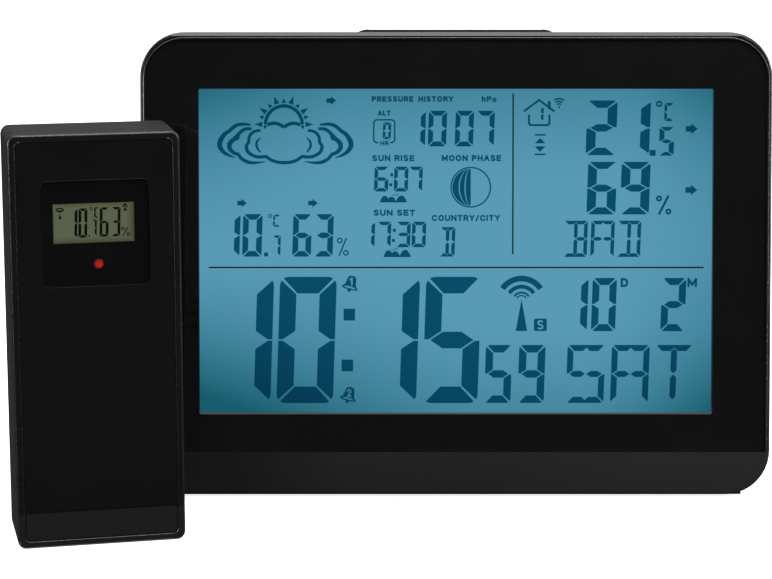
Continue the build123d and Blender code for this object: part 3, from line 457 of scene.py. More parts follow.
def bank_stroke(layer, middle, stretches, stretch_widths):
    """One bank's line and its mirror image."""
    steps = 5
    line, line_widths = [], []
    for points, widths in zip(stretches, stretch_widths):
        part = smooth(points, steps)
        for i in range(1 if line else 0, len(part)):
            k, share = divmod(i, steps)
            ahead = widths[min(k + 1, len(widths) - 1)]
            line.append(part[i])
            line_widths.append(widths[k] + (ahead - widths[k]) * share / steps)
    layer.stroke(line, line_widths)
    layer.stroke(mirrored(line, middle), line_widths)


def forecast_sign(layer):
    """Sun behind five cloud banks."""
    centre = Vector((25.38, 10.88))
    x, y = centre
    layer.shape(band(x, y, 5.05, 6.1, 0, 180))
    for side in (-1, 1):
        layer.shape([(x + side * reach, y + down) for reach, down in sun_leg])
        layer.stroke(smooth([(x + side * reach, height) for reach, height in brow], 4), 1.08)
        for i, degrees_up in enumerate(ray_angles if side > 0 else ray_angles[:-1]):
            angle, (reach, half) = radians(degrees_up), ((8.95, 0.84), (7.9, 0.72))[i % 2]
            along = Vector((side * cos(angle), -sin(angle)))
            across = half * Vector((-along.y, along.x))
            foot, tip = (centre + distance * along for distance in (6.5, reach))
            layer.shape([foot + across, foot - across, tip])
    for bank in (centre_bank, second_bank, outer_bank, crescent):
        bank_stroke(layer, *bank)


def house_sign(layer):
    """House with its radio waves, and the comfort mark under it."""
    line, wave = 0.62, 0.24
    layer.stroke([(98, 7), (102.65, 3.5), (107.3, 7)], line)
    layer.stroke([(99.6, 7.9), (99.6, 10.6), (100.1, 11.1), (105.3, 11.1), (105.8, 10.6), (105.8, 7.9)], line)
    layer.shape(rounded_box(105.3, 106.15, 3.8, 6.3, 0.35))
    figures(layer, (("1", (104.1,), 5.5, 9.9, 2.2, 0.8, 0.6, 0.18),))
    x, y = 108.7, 5.7
    layer.shape(circle(x, y, 0.32, 16))
    for radius in (1, 1.8, 2.6):
        layer.shape(band(x, y, radius - wave, radius + wave, 55, 125))
    left, right = 101.35, 104.65
    middle = (left + right) / 2
    layer.shape(rectangle(left, right, 13.8, 14.3))
    layer.shape([(left, 16.6), (middle, 15), (right, 16.6)])
    layer.shape([(left, 17.5), (right, 17.5), (middle, 19.2)])
    layer.shape(rectangle(left, right, 19.7, 20.2))


def radio_sign(layer):
    """Radio mast with four waves, and the box of the summer-time mark."""
    x, y = 97.5, 64.6
    for inner, outer in ((6.1, 7.85), (3.9, 5.1), (2.4, 3), (1.6, 2)):
        layer.shape(band(x, y, inner, outer, 34, 146))
    layer.shape([(x, 63.9), (x + 1.75, 73.6), (x - 1.75, 73.6)])
    layer.shape(rounded_box(101.3, 105.2, 69.8, 73.6, 0.55))


half_bell = [(0, -2.35), (0.75, -2.2), (1.2, -1.6), (1.35, -0.6), (1.6, 0.3), (2.2, 0.95), (2.15, 1.3),
             (1.2, 1.55), (0.5, 1.6), (0.4, 2.05)]
bell_outline = half_bell + [(0, 2.25)] + mirrored(half_bell[:0:-1], 0)
bell_lip = [(-1.75, 1), (-0.9, 0.75), (0, 0.65), (0.9, 0.75), (1.75, 1), (0.9, 1.2), (0, 1.12),
            (-0.9, 1.2)]
bell_tilt, bell_size = radians(15), 1.1
bell_places = ((45.6, 59.3, "1"), (45, 93.2, "2"))


def bell_shape(points, x, y):
    """Points of the tilted bell, moved to a place."""
    across, down = bell_size * cos(bell_tilt), bell_size * sin(bell_tilt)
    return [(x + px * across - py * down, y + px * down + py * across) for px, py in points]


def bell_signs(layer):
    for x, y, _ in bell_places:
        layer.shape(bell_shape(smooth_ring(bell_outline), x, y))


hump = [(0, 0), (0.1, 0.4), (0.27, 0.83), (0.5, 1), (0.73, 0.83), (0.9, 0.4), (1, 0)]
hump_places = ((0, 0.37, 0.95), (0.24, 0.62, 0.82), (0.58, 1, 1))
sun_marks = (((-0.11, 1.12), (-0.06, 0.9)), ((0, 1.25), (0, 0.98)), ((0.11, 1.27), (0.06, 0.98)))
hill_places = ((54.4, 62.7, 32.4, 34.5, 0.58), (55.5, 63.9, 48.9, 51.1, 0.4))


def hill_signs(layer):
    """Three rounded hills under each sun time, with a little of the sun between them."""
    for left, right, top, bottom, sun_place in hill_places:
        width, height = right - left, bottom - top
        for start, end, rise in hump_places:
            layer.shape([(left + (start + x * (end - start)) * width, bottom - y * rise * height)
                         for x, y in smooth(hump, 3)])
        for mark in sun_marks:
            layer.stroke([(left + (sun_place + x) * width, bottom - y * height) for x, y in mark], 0.24)


captions = (
    ("PRESSURE", 52, 64.6, 2.35, 4.05, 0.45), ("HISTORY", 66.1, 76.7, 2.35, 4.05, 0.45),
    ("hP", 85.3, 88.2, 2.35, 4.1, 0.45), ("a", 88.35, 89.8, 2.35, 4.1, 0.32),
    ("ALT", 53.8, 57.7, 6.7, 8.25, 0.42), ("HR", 54.6, 57.1, 15.85, 17.3, 0.34),
    ("SUN RISE", 52.1, 64.9, 20.15, 22, 0.48), ("MOON PHASE", 73.2, 91.2, 20.15, 22, 0.48),
    ("SUN SET", 52.5, 65.1, 36.7, 38.55, 0.48), ("COUNTRY/CITY", 70.2, 90.9, 38.3, 40.15, 0.46),
    ("D", 127.6, 129.9, 57.5, 60.2, 0.68), ("M", 147.9, 150.8, 57.5, 60.2, 0.68))


def caption_words(layer):
    """Plain words that say what each figure is."""
    for caption in captions:
        layer.words(*caption)


def sign_openings(layer):
    """Parts of the signs that let the light through: bell lips and numbers, and the summer-time letter."""
    for x, y, sign in bell_places:
        layer.shape(bell_shape(smooth_ring(bell_lip), x, y))
        half = 0.45 if sign == "1" else 0.68
        layer.words(sign, x - half + 0.1, x + half + 0.1, y - 1.95, y + 0.45, 0.42)
    layer.words("S", 102.3, 104.2, 70.3, 73.1, 0.5)


# ---- Outdoor sensor display ----
small_rows = (
    ("10", (6.95, 9.7), 1.6, 9.8, 2.7, 0.78, 0.72, 0.12),
    ("63", (15.65, 18.95), 1.5, 9.75, 2.75, 0.78, 0.7, 0.12),
    ("C", (12.85,), 1.4, 4.3, 1.35, 0.48, 0.42, 0.08),
    ("7", (12.25,), 4.85, 9.4, 1.5, 0.54, 0.46, 0.08))


def sensor_figures(layer):
    """Temperature and humidity with two radio signs."""
    figures(layer, small_rows)
    squares(layer, ((9.85, 9.15, 0.45),))
    layer.ring(circle(10.75, 1.75, 0.48, 20), circle(10.75, 1.75, 0.28, 20))
    percent(layer, 18.95, 21.45, 7.2, 9.75, 0.27, 0.2)
    x, y = 2.05, 2.75
    layer.shape([(x, 2.85), (2.5, 4.35), (1.6, 4.35)])
    for radius in (0.7, 1.4):
        layer.shape(band(x, y, radius - 0.17, radius + 0.17, 38, 142))
    layer.shape(band(x, y - 1.85, 1.23, 1.57, 218, 322))
    layer.ring(circle(20.2, 1.15, 0.58, 20), circle(20.2, 1.15, 0.34, 20))
    layer.stroke([(19.4, 1.55), (20.2, 0.95), (21, 1.55)], 0.24)
    layer.shape([(20.2, 1.6), (20.8, 2.6), (19.6, 2.6)])


# ---- Materials ----
class Nodes:
    """A node tree, with short calls for the nodes used here."""

    def __init__(self, tree):
        self.nodes, self.links = tree.nodes, tree.links

    def add(self, kind, inputs=None, **settings):
        node = self.nodes.new(kind)
        for name, value in settings.items():
            setattr(node, name, value)
        for name, value in (inputs or {}).items():
            self.feed(node.inputs[name], value)
        return node

    def feed(self, socket, value):
        """Links a pattern to a socket, or sets the socket's own number."""
        if isinstance(value, bpy.types.NodeSocket):
            self.links.new(value, socket)
        else:
            socket.default_value = value

    def math(self, operation, one, two=0, clamp=False):
        return self.add("ShaderNodeMath", {0: one, 1: two}, operation=operation, use_clamp=clamp).outputs[0]

    def minus(self, one, two, clamp=False):
        return self.math("SUBTRACT", one, two, clamp)

    def times(self, one, two):
        return self.math("MULTIPLY", one, two)

    def over(self, one, two, clamp=False):
        return self.math("DIVIDE", one, two, clamp)

    def plus(self, *terms):
        total = terms[0]
        for term in terms[1:]:
            total = self.math("ADD", total, term)
        return total


class Paint(Nodes):
    """A material: its surface shader, and patterns that feed it."""

    def __init__(self, name, colour=(0.5, 0.5, 0.5), roughness=0.5, specular=0.5, metallic=0):
        self.material = bpy.data.materials.new(name)
        self.material.use_nodes = True
        super().__init__(self.material.node_tree)
        self.surface = self.nodes["Principled BSDF"]
        self.give("Base Color", (*colour, 1))
        self.give("Roughness", roughness)
        self.give("Specular IOR Level", specular)
        self.give("Metallic", metallic)
        self.place = self.add("ShaderNodeTexCoord").outputs["Object"]

    def give(self, name, value):
        self.feed(self.surface.inputs[name], value)

    def tint(self, value, *stops):
        """Base colour that follows a pattern."""
        self.give("Base Color", self.ramp(value, stops))

    def dull(self, value, low, high):
        """Roughness that follows a pattern, between two limits."""
        self.give("Roughness", self.spread(value, low, high))

    def on_plane(self, plane):
        """Coordinates on a front plane, or without one the piece's own."""
        if plane is None:
            return self.place
        turned = self.add("ShaderNodeMapping", {"Vector": self.place}, vector_type="TEXTURE")
        turned.inputs["Location"].default_value = plane.to_translation()
        turned.inputs["Rotation"].default_value = plane.to_euler()
        return turned.outputs[0]

    def millimetres(self, plane=None):
        """Distances to the right and up: on a front plane, or in the piece's own coordinates."""
        axes = self.add("ShaderNodeSeparateXYZ", {"Vector": self.on_plane(plane)})
        return [self.times(axes.outputs[axis], 1000) for axis in "XY"]

    def noise(self, scale, detail, vector=None):
        inputs = {"Vector": vector or self.place, "Scale": scale, "Detail": detail}
        return self.add("ShaderNodeTexNoise", inputs).outputs["Fac"]

    def ramp(self, value, stops, interpolation="LINEAR"):
        node = self.add("ShaderNodeValToRGB", {"Fac": value})
        node.color_ramp.interpolation = interpolation
        elements = node.color_ramp.elements
        while len(elements) < len(stops):
            elements.new(0.5)
        for element, (position, colour) in zip(elements, stops):
            element.position = position
            element.color = (*colour, 1)
        return node.outputs["Color"]

    def blend(self, share, one, other):
        """One colour where share is 0, the other where it is 1."""
        return self.add("ShaderNodeMix", {"Factor": share, 6: one, 7: other}, data_type="RGBA").outputs[2]

    def spread(self, value, low, high):
        """Maps a 0..1 pattern to a range."""
        return self.add("ShaderNodeMapRange", {"Value": value, "To Min": low, "To Max": high}).outputs[0]

    def fade(self, distance, reach, power, amount=1):
        """amount at an edge, fading to nothing at reach."""
        share = self.minus(1, self.over(distance, reach), clamp=True)
        return self.times(self.math("POWER", share, power), amount)

    def bump(self, height, distance, strength=1):
        node = self.add("ShaderNodeBump", {"Height": height, "Distance": distance, "Strength": strength})
        self.give("Normal", node.outputs["Normal"])


def grey(level):
    return (level, level, level)


def moulded(name, dark, light, roughness, grain=900, depth=0.000002, specular=0.5):
    """Moulded plastic: spark-eroded grain, patches a little duller than others, slight colour drift."""
    paint = Paint(name, specular=specular)
    patches = paint.noise(55, 3)
    paint.tint(patches, (0.3, dark), (0.7, light))
    speckle = paint.noise(grain, 2)
    mixed = paint.plus(paint.times(patches, 0.4), paint.times(speckle, 0.6))
    paint.dull(mixed, roughness - 0.07, roughness + 0.07)
    paint.bump(speckle, depth)
    return paint.material


def shown(*levels):
    """Linear colour of a screen colour given in 0..255."""
    return tuple(((c / 255 + 0.055) / 1.055) ** 2.4 if c > 10 else c / 255 / 12.92 for c in levels)


def clear_sheet(name, tint, gloss=0.04):
    """A clear cover: it reflects more at a slant and lets the rest straight through."""
    paint = Paint(name)
    paint.nodes.remove(paint.surface)
    facing = paint.add("ShaderNodeLayerWeight").outputs["Facing"]
    share = paint.plus(paint.times(paint.math("POWER", facing, 5), 1 - gloss), gloss)
    smears = paint.spread(paint.noise(30, 4), 0.01, 0.05)
    through = paint.add("ShaderNodeBsdfTransparent", {"Color": (*tint, 1)})
    mirror = paint.add("ShaderNodeBsdfGlossy", {"Roughness": smears})
    mixed = paint.add("ShaderNodeMixShader", {0: share, 1: through.outputs[0], 2: mirror.outputs[0]})
    paint.feed(paint.nodes["Material Output"].inputs["Surface"], mixed.outputs[0])
    return paint.material


def lit_surface(paint, colour, strength):
    """A surface that shows its own light: the display's backlight, or painted light on parts that are no
    lamp.
    """
    paint.give("Base Color", (0, 0, 0, 1))
    paint.give("Specular IOR Level", 0)
    paint.give("Emission Strength", strength)
    paint.give("Emission Color", colour)
    return paint.material


def edge_distances(paint, plane, left, top, width, height):
    """Distances, in millimetres, from the left, right, top and bottom of a window."""
    across, up = paint.millimetres(plane)
    from_left, from_top = paint.minus(across, left), paint.minus(top, up)
    return from_left, paint.minus(width, from_left), from_top, paint.minus(height, from_top)


lens_loss, small_lens_loss = 1.09, 1.12
darkest_shade = 64
# Display colours from the lit middle (0) to the painted shade at the edges and corners (1).
backlight_stops = ((0, shown(89, 155, 181)), (0.25, shown(74, 141, 165)), (0.5, shown(58, 127, 150)),
                   (0.75, shown(41, 111, 131)), (1, shown(21, 92, 111)))
# Segment colours from the lit middle (0) to the painted shade at the edges and corners (1).
segment_stops = ((0, shown(1, 76, 105)), (0.6, shown(0, 61, 88)), (1, shown(0, 49, 73)))


def display_light(name, stops, plane=None):
    """The backlit display, with painted shade that darkens it towards its edges and most of all in its
    corners.
    """
    paint = Paint(name, roughness=0.3)
    left, right, top, bottom = edge_distances(paint, plane, *console_window)
    # Painted shade: the colour gets darker towards the display's edges, most of all in its corners.
    painted_corner_shade = paint.plus(paint.fade(left, 87, 1.4, 56), paint.fade(right, 40, 1.3, 30))
    painted_shade = paint.plus(
        paint.fade(top, 36, 2, 25), paint.fade(right, 28, 1.3, 11), paint.fade(bottom, 30, 1.5, 22),
        paint.times(paint.fade(left, 45, 1.2, 28), paint.fade(top, 50, 1.2)),
        paint.times(paint.fade(right, 22, 1, 14), paint.fade(top, 40, 1)),
        paint.times(painted_corner_shade, paint.fade(bottom, 46, 1.1)))
    return lit_surface(paint, paint.ramp(paint.over(painted_shade, darkest_shade), stops), lens_loss)


def small_display_light():
    """The unlit grey-green display, shown as a painted glow of its own colour, darker along the painted
    shadow of its frame.
    """
    paint = Paint("reflective_film", roughness=0.3)
    colour = shown(86, 93, 70)
    left, right, top, bottom = edge_distances(paint, SENSOR, *small_window)
    # Painted shadow of the frame along the film's edges, darkening the painted glow.
    painted_shade = paint.fade(left, 0.9, 1, 0.3)
    for side in (paint.fade(right, 2.2, 1.2, 0.62), paint.fade(top, 1.5, 1.3, 0.55),
                 paint.fade(bottom, 1.6, 1.1, 0.55)):
        painted_shade = paint.math("MAXIMUM", painted_shade, side)
    dim = tuple(0.42 * c for c in colour)
    return lit_surface(paint, paint.ramp(painted_shade, ((0, colour), (0.75, dim))), small_lens_loss)


def lamp_light():
    """The red lamp: bright in the middle, fading to its rim."""
    paint = Paint("red_lamp", colour=(0.02, 0, 0), specular=0)
    across, up = paint.millimetres(SENSOR)
    squared = [paint.math("POWER", paint.minus(*pair), 2) for pair in ((across, led_x), (up, led_y))]
    distance = paint.math("SQRT", paint.plus(*squared))
    glow = ((0.28, shown(226, 0, 14)), (0.42, shown(180, 30, 25)), (0.64, shown(105, 36, 30)),
            (0.84, shown(52, 28, 26)), (1, shown(20, 17, 16)))
    paint.give("Emission Strength", 1)
    paint.give("Emission Color", paint.ramp(paint.over(distance, led_hole), glow))
    return paint.material


def circuit_board():
    """Green solder mask over copper tracks, with plated holes."""
    paint = Paint("solder_mask", roughness=0.35)
    inputs = {"Vector": paint.place, "Scale": 220, "Mortar Size": 0.03, "Color1": (0.012, 0.14, 0.05, 1),
              "Color2": (0.016, 0.18, 0.065, 1), "Mortar": (0.03, 0.26, 0.09, 1)}
    tracks = paint.add("ShaderNodeTexBrick", inputs, offset=0.37, squash=0.6)
    holes = paint.add("ShaderNodeTexVoronoi", {"Vector": paint.place, "Scale": 260})
    plated = paint.math("LESS_THAN", holes.outputs["Distance"], 0.13)
    paint.give("Base Color", paint.blend(plated, tracks.outputs["Color"], (0.5, 0.42, 0.2, 1)))
    paint.bump(tracks.outputs["Fac"], 0.00004)
    return paint.material


def metal(name, dark, light, roughness):
    """Plated or bare metal with a fine mottled finish."""
    paint = Paint(name, metallic=1)
    spangle = paint.noise(900, 4)
    paint.tint(spangle, (0.3, dark), (0.7, light))
    paint.dull(spangle, roughness - 0.08, roughness + 0.1)
    paint.bump(spangle, 0.00001)
    return paint.material


def striped(name, scale, stops, plane=None, distortion=0, depth=0, **finish):
    """Fine stripes side by side: turns of wire, or the layers of an elastomer connector."""
    paint = Paint(name, **finish)
    inputs = {"Vector": paint.on_plane(plane), "Scale": scale, "Distortion": distortion}
    stripes = paint.add("ShaderNodeTexWave", inputs, bands_direction="X").outputs["Fac"]
    paint.tint(stripes, *stops)
    if depth:
        paint.bump(stripes, depth)
    return paint.material


def battery_sleeve(name, plane, axis, middle, half_length):
    """A printed sleeve with a lighter band near one end, and bare metal ends; axis is 0 or 1."""
    paint = Paint(name, roughness=0.3)
    along = paint.minus(paint.millimetres(plane)[axis], middle)
    share = paint.plus(paint.over(along, 2 * half_length), 0.5)
    sleeve, stripe, tin = (0.015, 0.1, 0.09), (0.62, 0.34, 0.09), grey(0.6)
    sleeve_start, stripe_start, stripe_end = 0.02, 0.7, 0.97
    bands = ((0, tin), (sleeve_start, sleeve), (stripe_start, stripe), (stripe_end, tin))
    paint.give("Base Color", paint.ramp(share, bands, "CONSTANT"))
    bare = ((0, grey(1)), (sleeve_start, grey(0)), (stripe_end, grey(1)))
    paint.give("Metallic", paint.ramp(share, bare, "CONSTANT"))
    paint.dull(paint.noise(120, 4), 0.2, 0.4)
    return paint.material


# Where the painted shade on the satin strip is darkest, and over how many millimetres it fades, across the
# face.
strip_painted_shade_end, strip_painted_shade_reach = 66, 32


def satin_strip_frame():
    """The front frame: polished black rim, and a satin strip with a fine sideways grain along its foot, with
    painted shade towards the sensor and painted light towards the lens.
    """
    paint = Paint("satin_black")
    across, up = paint.millimetres(FACE)
    strip = paint.math("LESS_THAN", up, strip_high)
    sideways = {"Vector": paint.on_plane(FACE), "Scale": (40, 900, 900)}
    grain = paint.noise(1, 3, paint.add("ShaderNodeMapping", sideways).outputs[0])
    texture = paint.plus(paint.times(grain, 0.5), paint.times(paint.noise(2600, 2), 0.5))
    dulling = paint.times(strip, paint.spread(texture, 0.16, 0.28))
    paint.give("Roughness", paint.plus(dulling, 0.18))
    patches = paint.noise(40, 3)
    rim_colour = paint.ramp(patches, ((0, grey(0.007)), (1, grey(0.010))))
    # Painted shade and light: the strip's colour is darker towards the sensor and lighter towards the lens.
    painted_light_from_sensor = paint.over(paint.plus(across, strip_painted_shade_end), strip_painted_shade_reach, clamp=True)
    painted_light_towards_lens = paint.times(paint.over(up, strip_high, clamp=True), 0.25)
    light = paint.plus(paint.times(painted_light_from_sensor, paint.plus(painted_light_towards_lens, 0.65)), paint.times(patches, 0.1))
    strip_colour_and_painted_shade = paint.ramp(light, ((0, grey(0.003)), (1, grey(0.021))))
    paint.give("Base Color", paint.blend(strip, rim_colour, strip_colour_and_painted_shade))
    paint.bump(paint.times(texture, strip), 0.00002, 0.6)
    return paint.material


def sensor_shell():
    """The sensor's casing: fine-grained black, with a sandblasted strip along the foot of its front."""
    paint = Paint("sensor_casing", specular=0.32)
    strip = paint.math("LESS_THAN", paint.millimetres(SENSOR)[1], small_strip_high)
    speckle = paint.noise(2600, 2)
    paint.give("Roughness", paint.plus(paint.spread(speckle, 0.38, 0.46), paint.times(strip, 0.1)))
    smooth_colour = paint.ramp(speckle, ((0, grey(0.003)), (1, grey(0.006))))
    blasted_colour = paint.ramp(speckle, ((0.3, grey(0.008)), (0.7, grey(0.016))))
    paint.give("Base Color", paint.blend(strip, smooth_colour, blasted_colour))
    paint.bump(speckle, 0.000015)
    return paint.material


# ---- CAD nodes and their materials ----
def ending(*ends):
    """The CAD nodes whose names end in one of the given ways."""
    return [name for name in nodes if name.endswith(ends)]


def paint_nodes():
    """Every CAD node's material, in place of the one it came with."""
    zebra = ((0.4, (0.32, 0.36, 0.45)), (0.6, (0.02, 0.02, 0.03)))
    finishes = {
        satin_strip_frame(): ["front_frame"],
        clear_sheet("cover_lens", grey(0.99)): ["front_lens"],
        clear_sheet("sensor_lens", grey(0.99), 0.015): ["sensor_window"],
        clear_sheet("display_glass", (0.9, 0.94, 0.93)): ["lcd_glass"],
        clear_sheet("acrylic_guide", (0.93, 0.96, 0.97)): ["light_guide"],
        moulded("black_casing", grey(0.010), grey(0.016), 0.48, 1800, 0.00003):
            ["rear_housing", "console_battery_door", "fold_out_foot"],
        sensor_shell(): ["sensor_front", "sensor_back", "sensor_battery_door"],
        moulded("gloss_panel", grey(0.0035), grey(0.005), 0.2, 900, 0.000004): ["sensor_face"],
        moulded("key_plastic", grey(0.012), grey(0.02), 0.4, 2600, 0.00001):
            ending("_key", "_button", "_knob"),
        display_light("backlit_film", backlight_stops, FACE): ["lcd_polarizers"],
        small_display_light(): ["sensor_lcd"],
        moulded("white_plastic", (0.72, 0.72, 0.7), (0.82, 0.82, 0.8), 0.45, 1500, 0.000008):
            ["reflector_sheet", "lcd_carrier", "sensor_lcd_frame"] + ending("_probe"),
        circuit_board(): ["radio_module", "backlight_bar"] + ending("_board"),
        moulded("chip_epoxy", grey(0.02), grey(0.035), 0.5, 3000, 0.00001):
            ["switch_bodies", "sensor_switches", "buzzer", "dc_jack"] + ending("_components", "_plunger"),
        metal("zinc_plate", grey(0.45), grey(0.7), 0.3): ending("_screws", "_plates", "_springs"),
        metal("spring_copper", (0.6, 0.28, 0.12), (0.78, 0.4, 0.2), 0.3): ["radio_antenna"],
        striped("copper_turns", 700, ((0, (0.25, 0.08, 0.03)), (0.6, (0.8, 0.36, 0.16))), distortion=0.1,
                depth=0.0001, metallic=1, roughness=0.3): ["ferrite_coil"],
        moulded("ferrite_core", (0.05, 0.05, 0.055), (0.09, 0.09, 0.1), 0.6, 700, 0.00005): ["ferrite_rod"],
        moulded("foot_rubber", grey(0.018), grey(0.03), 0.75, 1400, 0.00004):
            ["rubber_feet", "foot_pad", "sensor_seal"],
        striped("zebra_strip", 1100, zebra, FACE, roughness=0.7): ["contact_strip"],
        striped("sensor_zebra_strip", 1100, zebra, SENSOR, roughness=0.7): ["sensor_contact_strip"],
        battery_sleeve("small_cell_sleeve", FACE, 0, 0, 22.25): ["battery_cells"],
        battery_sleeve("cell_sleeve", SENSOR, 1, 35, 25.25): ["sensor_cells"],
        lamp_light(): ["sensor_led"],
    }
    unpainted = set(nodes)
    for material, names in finishes.items():
        for name in names:
            slots = nodes[name].data.materials
            if not slots:
                slots.append(material)
            for i in range(len(slots)):
                slots[i] = material
            unpainted.discard(name)
    if unpainted:
        raise ValueError(f"nodes without a finish: {sorted(unpainted)}")


# ---- New pieces ----
gasket_low, gasket_side = 0.18, 0.05
lens_side, lens_foot, lens_head, lens_corner = 93.2, 12.6, 136.6, 11


def gasket_glow():
    """Dark foam round the display, with the display's light painted on it as a glow: most along the lower
    edge.
    """
    paint = Paint("foam_gasket", roughness=0.9, specular=0)
    above_foot = paint.minus(paint.millimetres()[1], window_foot)
    bright, dull, dark = shown(92, 88, 86), shown(46, 43, 42), shown(34, 31, 30)
    lights = ((0, bright), (0.02, bright), (0.03, dull), (1, dark))
    # Painted light: a glow that is brightest along the window's lower edge and darker above.
    glow = paint.ramp(paint.over(above_foot, window_height), lights)
    pores = paint.spread(paint.noise(900, 2), 0.9, 1.1)
    mottled = paint.add("ShaderNodeVectorMath", {0: glow, 1: pores}, operation="MULTIPLY")
    return lit_surface(paint, mottled.outputs[0], 1)


def printed_borders():
    """Black printing on the back of the two windows, with holes for what shows through."""
    ink = moulded("black_ink", grey(0.0018), grey(0.0026), 0.25)
    dull_ink = moulded("dull_black_ink", grey(0.002), grey(0.003), 0.6, specular=0.05)
    right, head, foot, corner = -window_left, -window_top, -window_foot, 0.7
    layer = Layer(FACE, lens_back + 0.01, lens_seat - 0.03)
    layer.ring(rounded_box(-lens_side, lens_side, -lens_head, -lens_foot, lens_corner, 0.05),
               rounded_box(window_left, right, head, foot + gasket_low, corner))
    layer.finish("lens_border", "console", ink, "gloss_panel")
    layer = Layer(FACE, lens_seat + 0.03, lens_seat + 0.1)
    layer.ring(rounded_box(window_left - 0.3, right + 0.3, head - 0.3, foot + 0.35, corner + 0.2),
               rounded_box(window_left, right - gasket_side, head, foot - gasket_low, corner))
    layer.finish("window_gasket", "console", gasket_glow(), "rubber")

    side, half, corner = eye_width / 2 - 0.1, eye_height / 2 - 0.1, 1.7
    seam = -led_y - 2.6
    layer = Layer(SENSOR, eye_back + 0.01, eye_back + 0.08)
    layer.ring(rounded_box(-side, side, -eye_y - half, seam, corner, 0.02),
               rounded_box(small_left, small_left + small_width, -small_top, small_height - small_top, 0.1))
    layer.ring(rounded_box(-side, side, seam, half - eye_y, 0.02, corner),
               rounded_box(led_x - led_hole, led_x + led_hole, -led_y - led_hole, led_hole - led_y, led_hole))
    layer.finish("eye_border", "sensor", dull_ink, "gloss_panel")


def arch(inset):
    """The console's rim, from one end of the satin strip over the top to its other end."""
    side, head, corner = console_half - inset, console_head - inset - bevel_step, rim_corner - inset
    foot = -strip_high - 0.2
    return ([(side, foot)] + arc(side - corner, corner - head, corner, 0, 90, 16)
            + arc(corner - side, corner - head, corner, 90, 180, 16) + [(-side, foot)])


def panel(inset, steps=6):
    """The sensor's front edge."""
    side = panel_half - inset
    return rounded_box(-side, side, inset - panel_head, -inset, panel_round - inset / 2, steps=steps)


def cup(inset):
    """The sensor's front edge without its top."""
    outline = panel(inset, 8)
    first_corner = len(outline) // 4
    return outline[first_corner:] + outline[:first_corner]


def eye(outset):
    """The edge of the sensor's window."""
    side, half, corner = eye_width / 2 + outset, eye_height / 2 + outset, 1.9 + outset
    return rounded_box(-side, side, -eye_y - half, -eye_y + half, corner)


def polished_lines():
    """The fine raised lines along the console's rim, round the sensor's front and round its window; the grey
    metal ones are painted highlights on the black plastic edges.
    """
    # Painted highlights: grey metal lines that shine where the black plastic edges catch the light.
    glint = metal("painted_highlight_line", grey(0.2), grey(0.28), 0.24)
    dim_glint = metal("dim_painted_highlight_line", grey(0.12), grey(0.17), 0.25)
    black_glint = moulded("polished_black_line", grey(0.006), grey(0.009), 0.16, 1500, 0.000002)
    sunk = -0.01

    def half_round(start, width, height):
        """Insets and lifts of a half-round line."""
        return ([start + share * width for share in (0, 0.25, 0.5, 0.75, 1)],
                (sunk, 0.7 * height, height, 0.7 * height, sunk))

    edge = ((0.18, 0.22, 0.3, 0.42, 0.5), (-0.32, -0.14, -0.06, -0.02, -0.08))
    for name, body, plane, material, outline, (insets, lifts) in (
            ("rim_line", "console", FACE, glint, arch, half_round(0.84, 0.26, 0.09)),
            ("panel_line", "sensor", SENSOR, dim_glint, cup, half_round(1.86, 0.2, 0.08)),
            ("edge_line", "sensor", SENSOR, dim_glint, panel, edge),
            ("window_line", "sensor", SENSOR, black_glint, eye, half_round(0.04, 0.1, 0.03))):
        layer = Layer(plane, 0, 0)
        layer.bead([outline(inset) for inset in insets], lifts, closed=outline in (panel, eye))
        layer.finish(name, body, material, "gloss_panel")


key_row, key_pitch, key_back = 113, 25, 25.7


def key_symbols():
    """A pale sign on each rear key: bars, ring, two arrowheads, bell and radio waves."""
    pale = moulded("pale_print", grey(0.45), grey(0.55), 0.5)
    names = ("mode", "set", "up", "down", "alarm", "channel")
    middle, relief = (len(names) - 1) / 2, 0.03
    signs = {name: Layer(FACE, key_back - relief, key_back + relief, key_pitch * (i - middle), key_row)
             for i, name in enumerate(names)}
    for down in (-1.1, 0, 1.1):
        signs["mode"].shape(rectangle(-1.7, 1.7, down - 0.2, down + 0.2))
    signs["set"].ring(circle(0, 0, 1.5), circle(0, 0, 1.05))
    signs["set"].shape(circle(0, 0, 0.45))
    signs["up"].shape([(-1.6, 1.1), (0, -1.3), (1.6, 1.1)])
    signs["down"].shape([(-1.6, -1.1), (1.6, -1.1), (0, 1.3)])
    signs["alarm"].shape([(0.75 * x, 0.75 * y) for x, y in smooth_ring(bell_outline)])
    signs["channel"].shape(circle(0, 1.2, 0.4))
    for radius in (1.2, 2.2):
        signs["channel"].shape(band(0, 1.2, radius - 0.2, radius + 0.2, 45, 135))
    for name, sign in signs.items():
        sign.finish(f"{name}_sign", f"{name}_key", pale, "gloss_panel")


def draw_piece(draw, layer, body, material, slot):
    """Makes the piece that a drawing function is named after."""
    draw(layer)
    layer.finish(draw.__name__, body, material, slot)


def displays():
    """Everything drawn on the two displays."""
    dark = display_light("lit_segments", segment_stops)
    lit = display_light("lit_openings", backlight_stops)
    rule = moulded("rule_ink", shown(8, 12, 14), shown(12, 16, 18), 0.6)
    unlit = Paint("sensor_segments", colour=shown(10, 12, 6), roughness=0.6, specular=0.05).material
    front, back = polarizer_front - 0.06, polarizer_front - 0.005
    for draw in (clock_figures, weather_figures, unit_signs, forecast_sign, house_sign, radio_sign,
                 bell_signs, hill_signs, caption_words):
        draw_piece(draw, Layer(FACE, front, back, art_left, art_top), "console", dark, "polarizer")
    draw_piece(dividing_rules, Layer(FACE, front, back, art_left, art_top), "console", rule, "polarizer")
    layer = Layer(FACE, front - 0.03, front - 0.002, art_left, art_top)
    draw_piece(sign_openings, layer, "console", lit, "polarizer")
    layer = Layer(SENSOR, small_glass - 0.055, small_glass, small_left, small_top)
    draw_piece(sensor_figures, layer, "sensor", unlit, "display_glass")


# ---- Stage ----
base_light = 0.035
aim = Vector((0, 0, 0.07))
camera_place, camera_downward, focal_length = (-0.003615, -0.736513, 0.20713), 11.03, 116.58


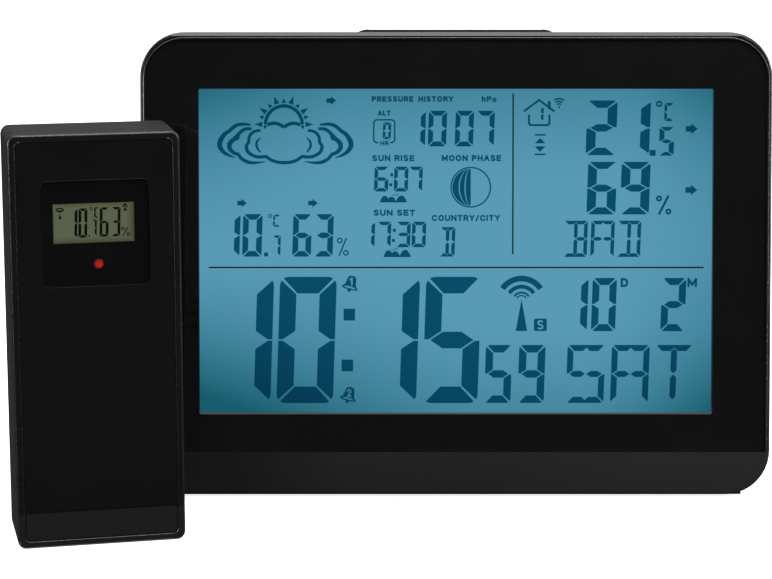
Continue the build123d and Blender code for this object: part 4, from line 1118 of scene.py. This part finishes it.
def studio():
    """White surround for the camera, dim grey light for everything else, and soft boxes."""
    world = bpy.data.worlds.new("studio")
    scene.world = world
    world.use_nodes = True
    sky = Nodes(world.node_tree)
    backdrop = sky.nodes["Background"]
    sky.feed(backdrop.inputs["Color"], (1, 1, 1, 1))
    direction = sky.add("ShaderNodeTexCoord").outputs["Generated"]
    axes = sky.add("ShaderNodeSeparateXYZ", {0: direction})
    light = base_light
    for axis, start, end, amount in (("Y", -0.3, 0.6, 0.12), ("Z", 0.25, 0.85, 0.6), ("X", 0.1, 0.8, 0.2),
                                     ("X", -0.25, -0.9, 0.1)):
        rise = sky.add("ShaderNodeMapRange", {"Value": axes.outputs[axis], "From Min": start, "From Max": end,
                                              "To Max": amount}, interpolation_type="SMOOTHSTEP")
        light = sky.plus(rise.outputs[0], light)
    seen = sky.add("ShaderNodeLightPath").outputs["Is Camera Ray"]
    strength = sky.add("ShaderNodeMix", {"Factor": seen, 2: light, 3: 1})
    sky.feed(backdrop.inputs["Strength"], strength.outputs[0])

    for name, place, size, power in (
            ("overhead", (0, 0.25, 1.1), (1.3, 0.7), 9), ("left_box", (-1.2, -0.5, 0.35), (0.14, 0.9), 6),
            ("right_box", (1.2, -0.2, 0.4), (0.4, 0.9), 9), ("rear_box", (0.9, 0.9, 0.4), (0.25, 0.8), 7),
            ("front_fill", (0.35, -1, 1), (0.9, 0.5), 5)):
        lamp = bpy.data.lights.new(name, "AREA")
        lamp.shape, lamp.energy = "RECTANGLE", power
        lamp.size, lamp.size_y = size
        holder = linked(name, lamp)
        holder.location = place
        holder.rotation_euler = (aim - Vector(place)).to_track_quat("-Z", "Y").to_euler()


def pale_floor():
    """A plain floor, white for the camera and dim for what it lights."""
    paint = Paint("pale_floor", roughness=0.9, specular=0)
    seen = paint.add("ShaderNodeLightPath").outputs["Is Camera Ray"]
    paint.give("Emission Strength", paint.times(seen, 0.85))
    paint.give("Emission Color", (1, 1, 1, 1))
    paint.tint(seen, (0, grey(0.07)), (1, grey(0.8)))
    mesh = bmesh.new()
    bmesh.ops.create_grid(mesh, x_segments=1, y_segments=1, size=3)
    floor = linked("floor", mesh_data("floor", mesh, paint.material))


def studio_camera():
    camera = bpy.data.cameras.new("camera")
    camera.sensor_width, camera.lens = 36, focal_length
    camera.clip_start, camera.clip_end = 0.05, 20
    holder = linked("camera", camera)
    holder.location = camera_place
    holder.rotation_euler = (radians(90 - camera_downward), 0, 0)
    bpy.context.scene.camera = holder
    scene.view_settings.view_transform = "Standard"


studio_camera()
studio()
pale_floor()
paint_nodes()
printed_borders()
polished_lines()
key_symbols()
displays()
